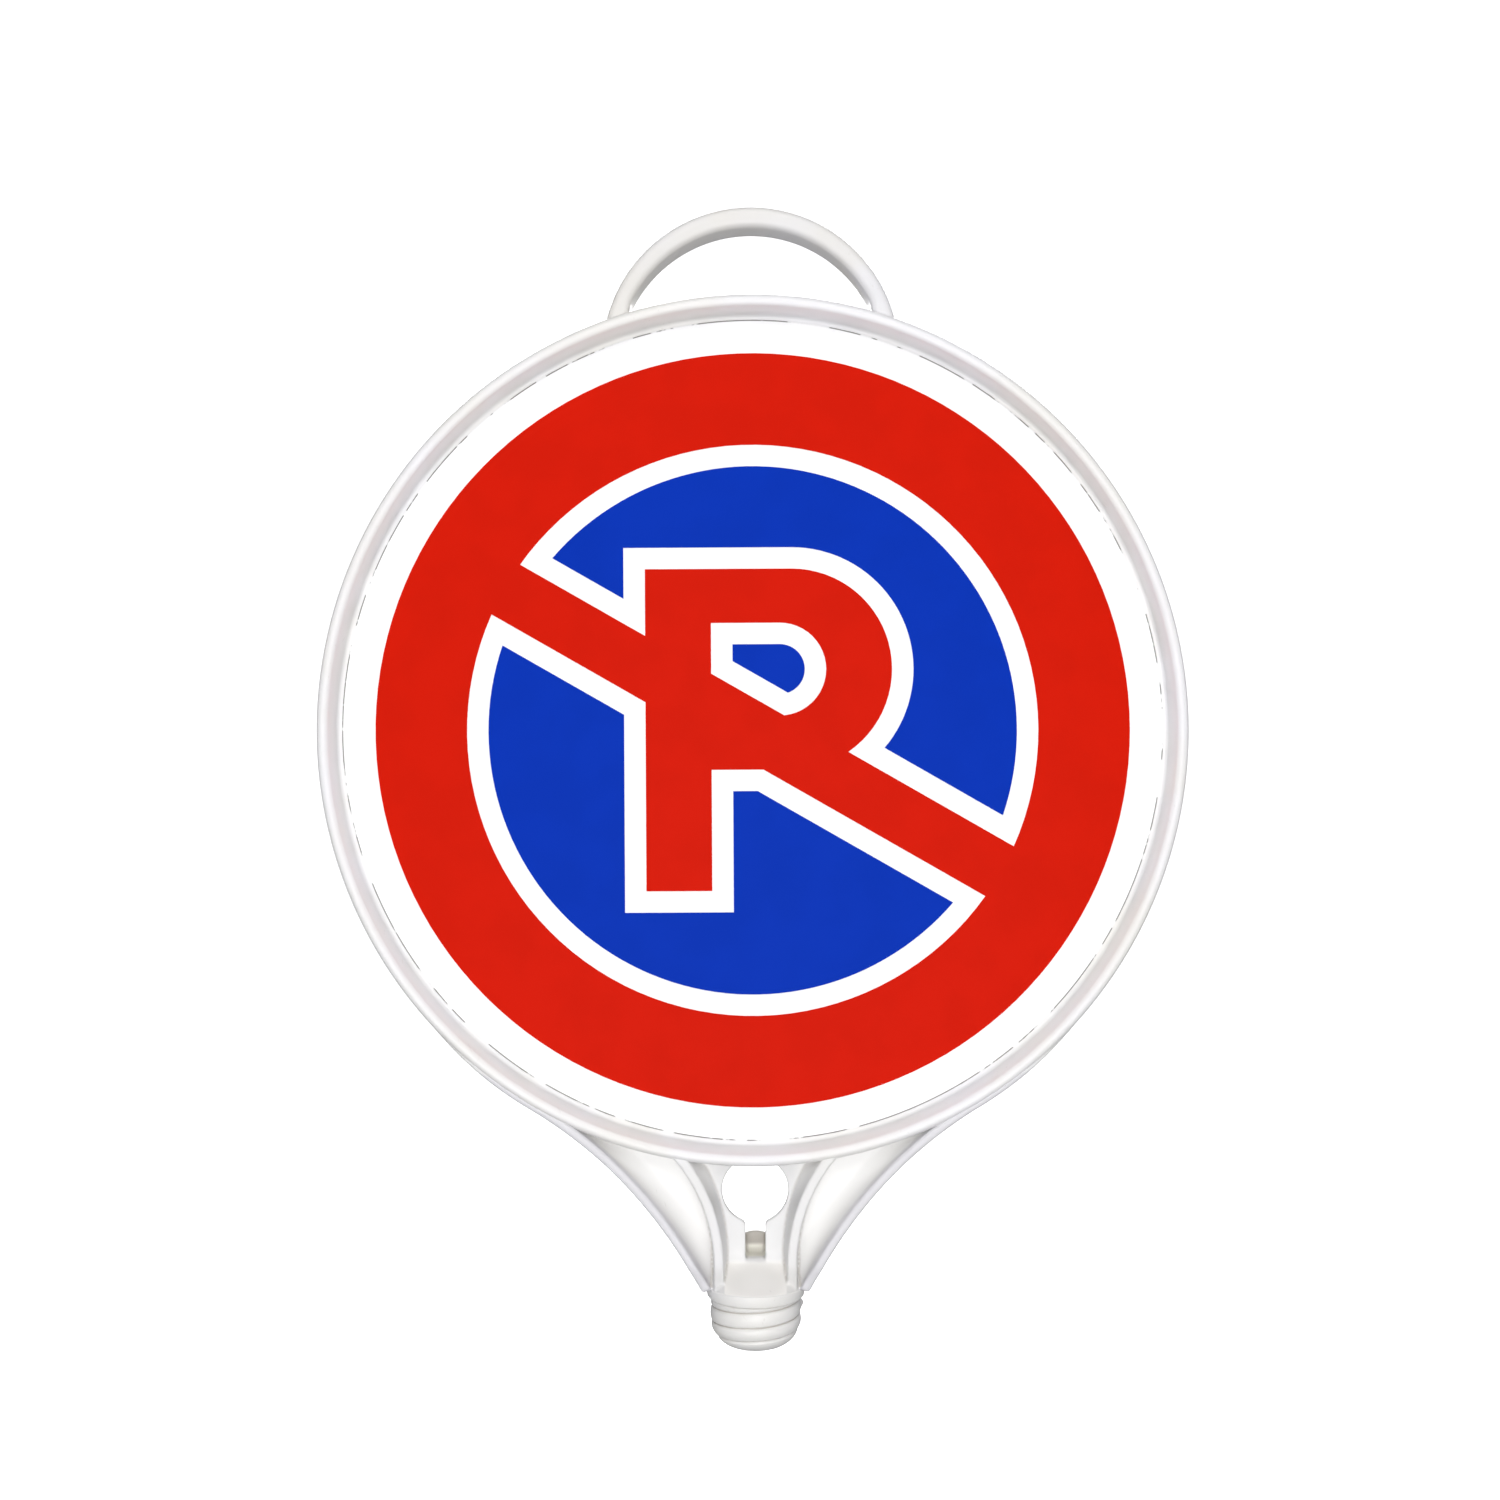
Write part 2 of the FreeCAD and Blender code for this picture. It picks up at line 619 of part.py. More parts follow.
for obj in doc.Objects:
    if "Invalid" in obj.State or "Error" in obj.State:
        raise RuntimeError(f"{obj.Name} did not build: {obj.State}")
for name, obj in NODES.items():
    obj.Label = name
    if obj.Shape.isNull() or not obj.Shape.isValid() or not obj.Shape.Solids:
        raise RuntimeError(f"{name} has no valid shape")

os.makedirs("parts", exist_ok=True)
for name, obj in NODES.items():
    obj.Shape.exportStep(f"parts/{name}.step")
    box = obj.Shape.BoundBox
    print(f"{name:18s} solids {len(obj.Shape.Solids)} volume {obj.Shape.Volume:11.1f}"
          f"  x {box.XMin:7.1f} {box.XMax:7.1f}  y {box.YMin:6.1f} {box.YMax:6.1f}"
          f"  z {box.ZMin:7.1f} {box.ZMax:7.1f}")
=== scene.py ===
"""Looks of the screw-in sign head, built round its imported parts.

The object's sizes are in millimetres here and the studio's in metres, and every mesh is made
in metres. Frame: +Z up along the spigot, the printed front faces -Y, and the origin is the
centre of the collar's underside.
"""
import logging
from dataclasses import dataclass, field, replace
from enum import Enum
from math import acos, asin, atan2, copysign, cos, degrees, hypot, pi, radians, sin, sqrt
from typing import Callable, Optional, Sequence, Union

import bmesh
import bpy
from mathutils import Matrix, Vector


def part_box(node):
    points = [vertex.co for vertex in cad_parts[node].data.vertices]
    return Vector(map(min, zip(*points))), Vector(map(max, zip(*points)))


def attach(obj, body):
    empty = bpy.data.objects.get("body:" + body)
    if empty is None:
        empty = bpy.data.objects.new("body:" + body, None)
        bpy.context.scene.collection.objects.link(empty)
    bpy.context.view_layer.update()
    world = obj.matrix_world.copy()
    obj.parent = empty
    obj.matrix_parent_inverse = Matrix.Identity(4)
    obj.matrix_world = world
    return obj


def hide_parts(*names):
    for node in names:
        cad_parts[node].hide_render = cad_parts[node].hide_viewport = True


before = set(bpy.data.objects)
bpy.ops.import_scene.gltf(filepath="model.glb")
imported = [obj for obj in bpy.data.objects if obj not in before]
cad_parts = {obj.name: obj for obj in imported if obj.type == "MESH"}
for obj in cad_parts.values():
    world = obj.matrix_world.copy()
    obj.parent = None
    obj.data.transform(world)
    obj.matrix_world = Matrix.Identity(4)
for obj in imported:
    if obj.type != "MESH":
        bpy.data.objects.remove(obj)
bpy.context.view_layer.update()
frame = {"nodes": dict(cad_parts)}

MM = 0.001
LOG = logging.getLogger("sign_head")

Point = tuple[float, float, float]
Pair = tuple[float, float]
Colour = tuple[float, float, float]
Rows = list[list[Point]]
Values = dict[Union[str, int], object]
Thing = bpy.types.Object
Material = bpy.types.Material


# ---- node trees ----

class Signal:
    """One output of a node tree, on which arithmetic adds Math nodes."""

    def __init__(self, bench: "Bench", socket: bpy.types.NodeSocket) -> None:
        """Keep the output and the bench that adds its nodes."""
        self.bench = bench
        self.socket = socket

    def __add__(self, other: "Term") -> "Signal":
        """This plus other."""
        return self.bench.math("ADD", self, other)

    def __sub__(self, other: "Term") -> "Signal":
        """This less other."""
        return self.bench.math("SUBTRACT", self, other)

    def __rsub__(self, other: float) -> "Signal":
        """A number less this."""
        return self.bench.math("SUBTRACT", other, self)

    def __mul__(self, other: "Term") -> "Signal":
        """This times other."""
        return self.bench.math("MULTIPLY", self, other)

    def __truediv__(self, other: "Term") -> "Signal":
        """This divided by other."""
        return self.bench.math("DIVIDE", self, other)

    def __neg__(self) -> "Signal":
        """This with its sign changed."""
        return self.bench.math("MULTIPLY", self, -1.0)

    __radd__ = __add__
    __rmul__ = __mul__

    def smooth_step(self, low: float, high: float) -> "Signal":
        """A smooth rise from 0 at low to 1 at high, or a fall where high is below low."""
        return self.bench.out("ShaderNodeMapRange", "Result",
                              {"interpolation_type": "SMOOTHSTEP"},
                              {"Value": self, "From Min": low, "From Max": high})

    def between(self, span: Pair) -> "Signal":
        """A smooth step whose two ends are given in millimetres."""
        return self.smooth_step(span[0] * MM, span[1] * MM)


Term = Union[Signal, float]


class Bench:
    """Adds nodes to one shader or geometry tree."""

    def __init__(self, tree: bpy.types.NodeTree) -> None:
        """Keep the tree and the prefix of its own node types."""
        self.tree = tree
        self.prefix = "GeometryNode" if tree.bl_idname == "GeometryNodeTree" else "ShaderNode"

    def add(self, kind: str, settings: Optional[dict[str, object]] = None,
            inputs: Optional[Values] = None) -> bpy.types.Node:
        """Make one node.

        Args:
            kind: The type's whole name, or its name without the tree's own prefix.
            settings: Properties, which are set first.
            inputs: Values or signals, by the socket's name or number.

        Returns:
            The new node.
        """
        node = self.tree.nodes.new(kind if "Node" in kind else self.prefix + kind)
        for name, value in (settings or {}).items():
            setattr(node, name, value)
        self.feed(node, inputs or {})
        return node

    def feed(self, node: bpy.types.Node, inputs: Values) -> None:
        """Link signals to a node's sockets, and set plain values on them.

        Args:
            node: The node.
            inputs: Values or signals, by the socket's name or number.
        """
        for key, value in inputs.items():
            if isinstance(value, Signal):
                self.tree.links.new(value.socket, node.inputs[key])
            else:
                node.inputs[key].default_value = value

    def out(self, kind: str, output: Union[str, int],
            settings: Optional[dict[str, object]] = None,
            inputs: Optional[Values] = None) -> Signal:
        """One output, by its name or number, of a new node that add makes."""
        return Signal(self, self.add(kind, settings, inputs).outputs[output])

    def math(self, operation: str, first: Term, second: Term = 0.0) -> Signal:
        """One Math node, whose second value only some operations read."""
        return self.out("ShaderNodeMath", 0, {"operation": operation}, {0: first, 1: second})

    def axes(self, place: Signal) -> list[Signal]:
        """The X, Y and Z of a place."""
        parts = self.add("ShaderNodeSeparateXYZ", None, {0: place})
        return [Signal(self, parts.outputs[axis]) for axis in "XYZ"]

    def noise(self, place: Signal, scale: float, detail: float, rough: float = 0.5) -> Signal:
        """Noise of one scale, detail and roughness."""
        return self.out("TexNoise", "Fac", None, {"Vector": place, "Scale": scale,
                                                  "Detail": detail, "Roughness": rough})

    def mix(self, share: Signal, first: Union[Signal, Colour],
            second: Union[Signal, Colour]) -> Signal:
        """The first colour where share is 0, blended to the second where it is 1."""
        ends = [end if isinstance(end, Signal) else (*end, 1.0) for end in (first, second)]
        return self.out("Mix", 2, {"data_type": "RGBA"}, {0: share, 6: ends[0], 7: ends[1]})


# ---- finishes ----

class Slot(Enum):
    """The record's material slots."""

    PLASTIC = "white_plastic"
    SHEETING = "white_sheeting"
    RED = "red_film"
    BLUE = "blue_film"


@dataclass(frozen=True)
class MouldedPlastic:
    """Satin white plastic as it comes from the mould, a little scuffed from handling, with
    painted shade in its creases where that is asked for.
    """

    name: str = "moulded_white_plastic"
    light: Colour = (0.79, 0.782, 0.80)
    dull: Colour = (0.775, 0.76, 0.735)
    scuff: Colour = (0.64, 0.62, 0.59)
    # Painted shade: the colour and the strength of the darkening laid into concave creases.
    crease_shade: Colour = (0.53, 0.50, 0.465)
    crease_shading: float = 0.0
    scuffs: float = 0.45
    roughness: float = 0.36
    ior: float = 1.49
    tone_scale: float = 22.0
    grain_scale: float = 1500.0
    grain_height: float = 0.00003
    flow_scale: float = 140.0
    patch_scale: float = 34.0

    def build(self) -> Material:
        """Make the material.

        Returns:
            Plastic with a soft change of tone, fine grain and thin handling scratches, and
            painted shade in its concave creases where that is asked for.
        """
        material, bench, shader, place = new_material(self.name)
        tone = bench.noise(place, self.tone_scale, 3.0, 0.55)
        grain = bench.noise(place, self.grain_scale, 2.0)
        flow = bench.noise(place, self.flow_scale, 4.0, 0.6)
        scratches = self.scratches(bench, place)
        colour = bench.mix(tone.smooth_step(0.35, 0.68), self.light, self.dull)
        colour = self.local_tones(bench, place, colour)
        # Painted shade: concave creases, found by pointiness, are darkened as if in shadow.
        if self.crease_shading:
            bend = bench.out("NewGeometry", "Pointiness").smooth_step(0.492, 0.45)
            colour = bench.mix(bend * self.crease_shading, colour, self.crease_shade)
        colour = bench.mix(scratches * self.scuffs, colour, self.scuff)
        rough = self.roughness + 0.10 * (tone - 0.5) + 0.10 * (flow - 0.5) + 0.14 * scratches
        bump = bench.out("Bump", "Normal", None, {
            "Height": grain + 2.2 * flow - 1.6 * scratches, "Strength": 0.5,
            "Distance": self.grain_height})
        bench.feed(shader, {"Base Color": colour, "Roughness": rough, "Normal": bump,
                            "IOR": self.ior, "Specular IOR Level": 0.5})
        return material

    def local_tones(self, bench: Bench, place: Signal, colour: Signal) -> Signal:
        """The colour as it is, because plain plastic has the same tones everywhere."""
        return colour

    def scratches(self, bench: Bench, place: Signal) -> Signal:
        """Sparse thin scratches in two directions.

        Args:
            bench: The material's bench.
            place: Object coordinates.

        Returns:
            1 in a scratch and 0 elsewhere.
        """
        lines: list[Signal] = []
        for turn, stretch in ((0.6, (900.0, 900.0, 22.0)), (-1.1, (30.0, 800.0, 800.0))):
            turned = bench.out("Mapping", 0, None, {
                "Vector": place, "Rotation": (turn, turn * 0.7, turn * 1.3)})
            drawn = bench.out("Mapping", 0, None, {"Vector": turned, "Scale": stretch})
            lines.append(bench.noise(drawn, 1.0, 1.0).smooth_step(0.72, 0.78))
        patch = bench.noise(place, self.patch_scale, 2.0).smooth_step(0.5, 0.66)
        return (lines[0] + lines[1]) * patch


@dataclass(frozen=True)
class NeckPlastic(MouldedPlastic):
    """The same plastic with painted light and shade by place on the neck; its spans are places in
    millimetres.
    """

    hollow_axis: Pair = (0.0, 0.0)
    hollow_edge: float = 162.0
    # Painted light: tones that brighten the thin walls, the panels at the sides more than the web
    # between the ribs.
    web: Colour = (0.69, 0.685, 0.685)
    panel: Colour = (0.82, 0.812, 0.80)
    # Painted light: a brighter tone on the skirt's slope.
    skirt: Colour = (0.845, 0.825, 0.795)
    # Painted shade: a darker, cool tone along the flanges' outer edge.
    flange: Colour = (0.625, 0.615, 0.64)
    # Painted light on the slot's floor, and painted shadow on the back wall behind the slot.
    slot_floor: Colour = (0.88, 0.86, 0.77)
    slot_back_shadow: Colour = (0.40, 0.37, 0.33)
    # Spans of the masks that place the painted light and shade, in millimetres.
    wall_depth: Pair = (8.5, 2.6)
    wall_height: Pair = (3.5, 9.0)
    panel_across: Pair = (12.0, 18.0)
    skirt_height: Pair = (13.0, 10.6)
    skirt_across: Pair = (11.0, 10.2)
    edge_shade_fade: Pair = (0.9, 0.2)
    slot_across: Pair = (4.1, 3.6)
    slot_front: Pair = (1.2, 3.2)
    slot_rear: Pair = (11.0, 10.5)
    slot_height: Pair = (11.6, 12.2)
    slot_bend: Pair = (13.8, 15.4)

    def local_tones(self, bench: Bench, place: Signal, colour: Signal) -> Signal:
        """Paint light on the neck's thin walls and skirt, shade on its flange edges, and light
        and shadow in its slot.

        Args:
            bench: The material's bench.
            place: Object coordinates.
            colour: The colour so far.

        Returns:
            The changed colour.
        """
        across, behind, height = bench.axes(place)
        across, depth = bench.math("ABSOLUTE", across), bench.math("ABSOLUTE", behind)
        # Painted light: thin walls are brightened towards the web and panel tones.
        wall = bench.mix(across.between(self.panel_across), self.web, self.panel)
        thin = depth.between(self.wall_depth) * height.between(self.wall_height)
        colour = bench.mix(thin, colour, wall)
        # Painted light: the skirt is brightened.
        low = height.between(self.skirt_height) * across.between(self.skirt_across)
        colour = bench.mix(low, colour, self.skirt)
        # Painted shade: a darker cool band along the flange's outer edge, by distance from the
        # hollow side's axis.
        aside = across - self.hollow_axis[0] * MM
        rise = height - self.hollow_axis[1] * MM
        reach = bench.math("SQRT", aside * aside + rise * rise)
        edge = reach.between(tuple(self.hollow_edge + fade for fade in self.edge_shade_fade))
        colour = bench.mix(edge, colour, self.flange)
        # Painted light on the slot's floor, blending up to painted shadow on its back wall.
        slot = across.between(self.slot_across) * behind.between(self.slot_front)
        slot = slot * behind.between(self.slot_rear) * height.between(self.slot_height)
        shade = bench.mix(height.between(self.slot_bend), self.slot_floor, self.slot_back_shadow)
        return bench.mix(slot, colour, shade)


@dataclass(frozen=True)
class PrintedFilm:
    """Smooth printed sheeting of one colour, with a painted shadow line along its cut edge where
    it has one.
    """

    name: str
    colour: Colour
    roughness: float = 0.42
    gloss: float = 0.03
    worn: float = 0.955
    wave_scale: float = 60.0
    speck_scale: float = 2600.0
    bump_height: float = 0.00002
    # Painted shadow: a dark broken line just inside edge_radius, along the sheet's cut edge.
    edge_radius: float = 0.0
    edge_shadow_colour: Colour = (0.16, 0.15, 0.14)
    edge_shade_fade: Pair = (0.45, 0.34)
    break_scale: float = 130.0

    def build(self, disc_height: float) -> Material:
        """Make the material.

        Args:
            disc_height: Height of the disc's centre, in millimetres.

        Returns:
            Even ink with a faint waviness, and a fine broken dark line at edge_radius: a painted
            shadow along the cut edge.
        """
        material, bench, shader, place = new_material(self.name)
        wave = bench.noise(place, self.wave_scale, 2.0)
        speck = bench.noise(place, self.speck_scale, 1.0)
        darker = tuple(self.worn * part for part in self.colour)
        colour = bench.mix((wave * 0.7 + speck * 0.3).smooth_step(0.4, 0.62), self.colour,
                           darker)
        if self.edge_radius:
            # Painted shadow: a broken dark line along the sheet's cut edge.
            across, _, height = bench.axes(place)
            rise = height - disc_height * MM
            radius = bench.math("SQRT", across * across + rise * rise)
            breaks = bench.noise(place, self.break_scale, 3.0).smooth_step(0.44, 0.50)
            line = radius.between(tuple(self.edge_radius - fade for fade in self.edge_shade_fade))
            colour = bench.mix(line * (0.12 + 0.8 * breaks), colour, self.edge_shadow_colour)
        rough = self.roughness + 0.08 * (wave - 0.5) + 0.05 * (speck - 0.5)
        bump = bench.out("Bump", "Normal", None, {
            "Height": wave * 3.0 + speck, "Strength": 0.35, "Distance": self.bump_height})
        bench.feed(shader, {"Base Color": colour, "Roughness": rough, "Normal": bump,
                            "Specular IOR Level": self.gloss})
        return material


def new_material(name: str) -> tuple[Material, Bench, bpy.types.Node, Signal]:
    """Start a material.

    Args:
        name: Its name.

    Returns:
        The material, its bench, its shader and its object coordinates.
    """
    material = bpy.data.materials.new(name)
    material.use_nodes = True
    bench = Bench(material.node_tree)
    shader = material.node_tree.nodes["Principled BSDF"]
    return material, bench, shader, bench.out("TexCoord", "Object")


# ---- shells ----

@dataclass
class Shell:
    """Closed surfaces that are collected into one piece, in millimetres."""

    points: list[Point] = field(default_factory=list)
    faces: list[list[int]] = field(default_factory=list)

    def sweep(self, rows: Sequence[Sequence[Point]]) -> None:
        """Join closed sections of equal length into a skin that is closed at both ends.

        Args:
            rows: The sections in order.
        """
        start, count = len(self.points), len(rows[0])
        for row in rows:
            self.points.extend(row)
        last = start + (len(rows) - 1) * count
        for a in range(start, last, count):
            for j in range(count):
                k = (j + 1) % count
                self.faces.append([a + j, a + k, a + count + k, a + count + j])
        self.faces.append(list(range(start, start + count))[::-1])
        self.faces.append(list(range(last, last + count)))

    def sweep_both(self, rows: Sequence[Sequence[Point]]) -> None:
        """Join sections into a skin on the right, and into its mirror on the left."""
        for side in (-1, 1):
            self.sweep([[(side * x, y, z) for x, y, z in row] for row in rows])

    def lathe(self, profile: Sequence[Pair], place: Callable[[float, float, float], Point],
              steps: int) -> None:
        """Turn a profile about an axis.

        Args:
            profile: Radius and height of each ring; the first and last are on the axis.
            place: Gives the point at a radius, height and angle.
            steps: Number of steps round the axis.
        """
        rings: list[list[int]] = []
        for radius, height in profile:
            turns = 1 if radius < 1e-6 else steps
            rings.append(list(range(len(self.points), len(self.points) + turns)))
            self.points.extend(place(radius, height, 2 * pi * j / steps) for j in range(turns))
        for low, high in zip(rings, rings[1:]):
            for j in range(steps):
                k = (j + 1) % steps
                corners = [low[j % len(low)], low[k % len(low)],
                           high[k % len(high)], high[j % len(high)]]
                self.faces.append(list(dict.fromkeys(corners)))

    def prism(self, outline: Sequence[Point], along: Point) -> None:
        """Push a flat outline along a vector."""
        self.sweep([outline, [tuple(a + b for a, b in zip(p, along)) for p in outline]])

    def piece(self, name: str) -> Thing:
        """Make one object, in metres, with its faces outwards.

        Args:
            name: Its name.

        Returns:
            The object.
        """
        data = bpy.data.meshes.new(name)
        data.from_pydata([Vector(p) * MM for p in self.points], [], self.faces)
        edit = bmesh.new()
        edit.from_mesh(data)
        bmesh.ops.remove_doubles(edit, verts=edit.verts, dist=1e-7)
        bmesh.ops.dissolve_degenerate(edit, edges=edit.edges, dist=1e-8)
        bmesh.ops.recalc_face_normals(edit, faces=edit.faces)
        edit.to_mesh(data)
        edit.free()
        return new_object(name, data)


def new_object(name: str, data: bpy.types.ID) -> Thing:
    """Put a new object in the scene.

    Args:
        name: The object's name.
        data: Its mesh, camera or light.

    Returns:
        The object.
    """
    made = bpy.data.objects.new(name, data)
    bpy.context.scene.collection.objects.link(made)
    return made


def settle(made: Thing) -> None:
    """Turn an object's modifiers into its plain mesh.

    Args:
        made: The object.
    """
    bpy.context.view_layer.update()
    graph = bpy.context.evaluated_depsgraph_get()
    flat = bpy.data.meshes.new_from_object(made.evaluated_get(graph))
    made.modifiers.clear()
    old, made.data = made.data, flat
    bpy.data.meshes.remove(old)
    flat.name = made.name


def finish_piece(made: Thing, material: Material, sharp: float, *nodes: str) -> None:
    """Dress a plastic piece and tie it to the frame.

    Args:
        made: The piece.
        material: Its finish.
        sharp: Angle above which an edge stays sharp, in degrees.
        *nodes: The CAD nodes that it replaces.
    """
    made.data.materials.clear()
    made.data.materials.append(material)
    made.data.shade_smooth()
    made.data.set_sharp_from_angle(angle=radians(sharp))
    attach(made, "root")
    if nodes:
        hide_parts(*nodes)
    LOG.info("%s: %d faces", made.name, len(made.data.polygons))


def arc(centre: Pair, radius: float, start: float, end: float, steps: int) -> list[Pair]:
    """Points along an arc from one angle in degrees to another, both ends included."""
    angles = [radians(start + (end - start) * i / steps) for i in range(steps + 1)]
    return [(centre[0] + radius * cos(a), centre[1] + radius * sin(a)) for a in angles]


def bezier(guides: Sequence[Pair], steps: int) -> list[Pair]:
    """Points along the smooth curve that guide points draw.

    Args:
        guides: The guide points, three or more.
        steps: Number of steps.

    Returns:
        The points, both ends included.
    """
    points: list[Pair] = []
    for i in range(steps + 1):
        row = list(guides)
        while len(row) > 1:
            row = [tuple(a + (b - a) * i / steps for a, b in zip(p, q))
                   for p, q in zip(row, row[1:])]
        points.append(row[0])
    return points


def rounded(corners: Sequence[tuple[float, float, float]], steps: int = 5) -> list[Pair]:
    """A closed outline with each corner rounded.

    Args:
        corners: Place and radius of each corner.
        steps: Steps in each rounded corner.

    Returns:
        The outline's points.
    """
    result: list[Pair] = []
    count = len(corners)
    for i, (x, y, radius) in enumerate(corners):
        if radius <= 0:
            result.append((x, y))
            continue
        here = Vector((x, y))
        before = Vector(corners[i - 1][:2]) - here
        after = Vector(corners[(i + 1) % count][:2]) - here
        half = before.angle(after) / 2
        reach = min(radius / max(1e-6, abs(sin(half) / cos(half))),
                    0.49 * before.length, 0.49 * after.length)
        start, end = here + before.normalized() * reach, here + after.normalized() * reach
        for j in range(steps + 1):
            t = j / steps
            bend = start * (1 - t) ** 2 + here * 2 * t * (1 - t) + end * t ** 2
            result.append((bend.x, bend.y))
    return result


def ease(low: float, high: float, value: float) -> float:
    """A smooth step from 0 at low to 1 at high."""
    t = min(1.0, max(0.0, (value - low) / (high - low)))
    return t * t * (3 - 2 * t)


# ---- geometry trees ----

def open_tree(name: str, sizes: dict[str, str]) -> tuple[Bench, Callable[[str], Signal]]:
    """Start a geometry tree.

    Args:
        name: Its name.
        sizes: Name and kind of each input besides Geometry and Material.

    Returns:
        The tree's bench, and a function that gives the signal of a named input.
    """
    tree = bpy.data.node_groups.new(name, "GeometryNodeTree")
    for label, kind in {"Geometry": "Geometry", **sizes, "Material": "Material"}.items():
        tree.interface.new_socket(label, in_out="INPUT", socket_type="NodeSocket" + kind)
    tree.interface.new_socket("Geometry", in_out="OUTPUT", socket_type="NodeSocketGeometry")
    bench = Bench(tree)
    given = bench.add("NodeGroupInput")
    return bench, lambda label: Signal(bench, given.outputs[label])


def close_tree(bench: Bench, result: Signal, material: Signal) -> bpy.types.NodeTree:
    """End a geometry tree with real faces that wear the material.

    Args:
        bench: The tree's bench.
        result: What the tree has made.
        material: The signal of its Material input.

    Returns:
        The tree.
    """
    real = bench.out("RealizeInstances", 0, None, {0: result})
    dressed = bench.out("SetMaterial", 0, None, {0: real, "Material": material})
    bench.add("NodeGroupOutput", None, {0: dressed})
    return bench.tree


def apply_tree(made: Thing, tree: bpy.types.NodeTree, values: dict[str, object]) -> None:
    """Run a geometry tree on an object and keep its result as a plain mesh.

    Args:
        made: The object.
        tree: The tree.
        values: Values of the tree's named inputs.
    """
    modifier = made.modifiers.new(tree.name, "NODES")
    modifier.node_group = tree
    identifiers = {item.name: item.identifier for item in tree.interface.items_tree
                   if item.in_out == "INPUT"}
    for name, value in values.items():
        modifier[identifiers[name]] = value
    settle(made)


# ---- sub-assemblies ----

@dataclass
class DiscMoulding:
    """Flat panel with a raised rim: a rounded bead, a sloping wall and a fillet at its foot."""

    centre: float
    radius: float
    bead_width: float = 4.4
    bead_peak: float = 10.0
    bead_drop: float = 3.0
    lip: float = 8.6
    foot_radius: float = 144.0
    foot_fillet: float = 1.7
    panel_half: float = 2.0
    parting: float = 0.2
    rings: tuple[float, ...] = (0.90, 0.7, 0.4, 0.15, 0.0)
    steps: int = 300

    def half_profile(self) -> list[Pair]:
        """Radius and depth of the front half, from the parting line to the panel's middle.

        Returns:
            The profile's points.
        """
        half_bead = self.bead_width / 2
        crest = self.radius - half_bead
        bead: list[Pair] = [(self.radius - self.parting, 0.0),
                            (self.radius - self.parting, self.parting),
                            (self.radius, 2 * self.parting)]
        for i in range(11):
            t = radians(9.0 * i)
            bead.append((crest + half_bead * cos(t),
                         self.bead_peak - self.bead_drop + self.bead_drop * sin(t)))
        for i in range(1, 7):
            t = radians(12.0 * i)
            bead.append((crest - half_bead * sin(t),
                         self.lip + (self.bead_peak - self.lip) * cos(t)))
        corner = (self.foot_radius, self.panel_half)
        slope = atan2(self.lip - corner[1], self.radius - self.bead_width - corner[0])
        pull = self.foot_fillet * sin(slope) / (1 + cos(slope))
        start = (corner[0] + pull * cos(slope), corner[1] + pull * sin(slope))
        fillet = bezier((start, corner, (corner[0] - pull, corner[1])), 6)
        return bead + fillet + [(self.radius * part, self.panel_half) for part in self.rings]

    def build(self, material: Material) -> None:
        """Make the disc.

        Args:
            material: Its finish.
        """
        half = self.half_profile()
        shell = Shell()
        shell.lathe([(r, -y) for r, y in reversed(half[1:])] + half,
                    lambda r, y, t: (r * cos(t), y, self.centre + r * sin(t)), self.steps)
        finish_piece(shell.piece("disc_moulding"), material, 40, "rim", "face_panel")


@dataclass
class CarryHandle:
    """Arched handle with well rounded edges and a small fillet where each foot stands."""

    centre: float
    rim_radius: float
    outer_radius: float = 51.3
    outer_rise: float = 129.2
    inner_radius: float = 46.1
    inner_rise: float = 127.2
    depth: float = 15.0
    edge: float = 2.8
    foot_flare: float = 1.3
    foot_angle: float = 84.0
    buried: float = 3.0
    flare_height: float = 5.0
    steps: int = 96

    def section(self, turn: float) -> list[Point]:
        """Rounded section at one place on the arch.

        Args:
            turn: Angle from the top, in radians, positive to the right.

        Returns:
            The closed section.
        """
        outer = Vector((self.outer_radius * sin(turn),
                        self.outer_radius * cos(turn) + self.outer_rise))
        inner = Vector((self.inner_radius * sin(turn),
                        self.inner_radius * cos(turn) + self.inner_rise))
        above = max(0.0, inner.length - self.rim_radius)
        out = (outer - inner).normalized()
        inner -= out * self.foot_flare * (1 - ease(0.0, self.flare_height, above)) ** 2
        half, thick = self.depth / 2, (outer - inner).length
        edge = min(self.edge, 0.45 * thick)
        outline = rounded([(0, -half, edge), (thick, -half, edge), (thick, half, edge),
                           (0, half, edge)], 7)
        least = self.rim_radius - self.buried
        row: list[Point] = []
        for along, across in outline:
            spot = inner + out * along
            if spot.length < least:
                spot = spot.normalized() * least
            row.append((spot.x, across, self.centre + spot.y))
        return row

    def build(self, material: Material) -> None:
        """Make the handle.

        Args:
            material: Its finish.
        """
        foot = radians(self.foot_angle)
        shell = Shell()
        shell.sweep([self.section(foot * (2 * i / self.steps - 1))
                     for i in range(self.steps + 1)])
        finish_piece(shell.piece("carry_handle_arch"), material, 50, "carry_handle")


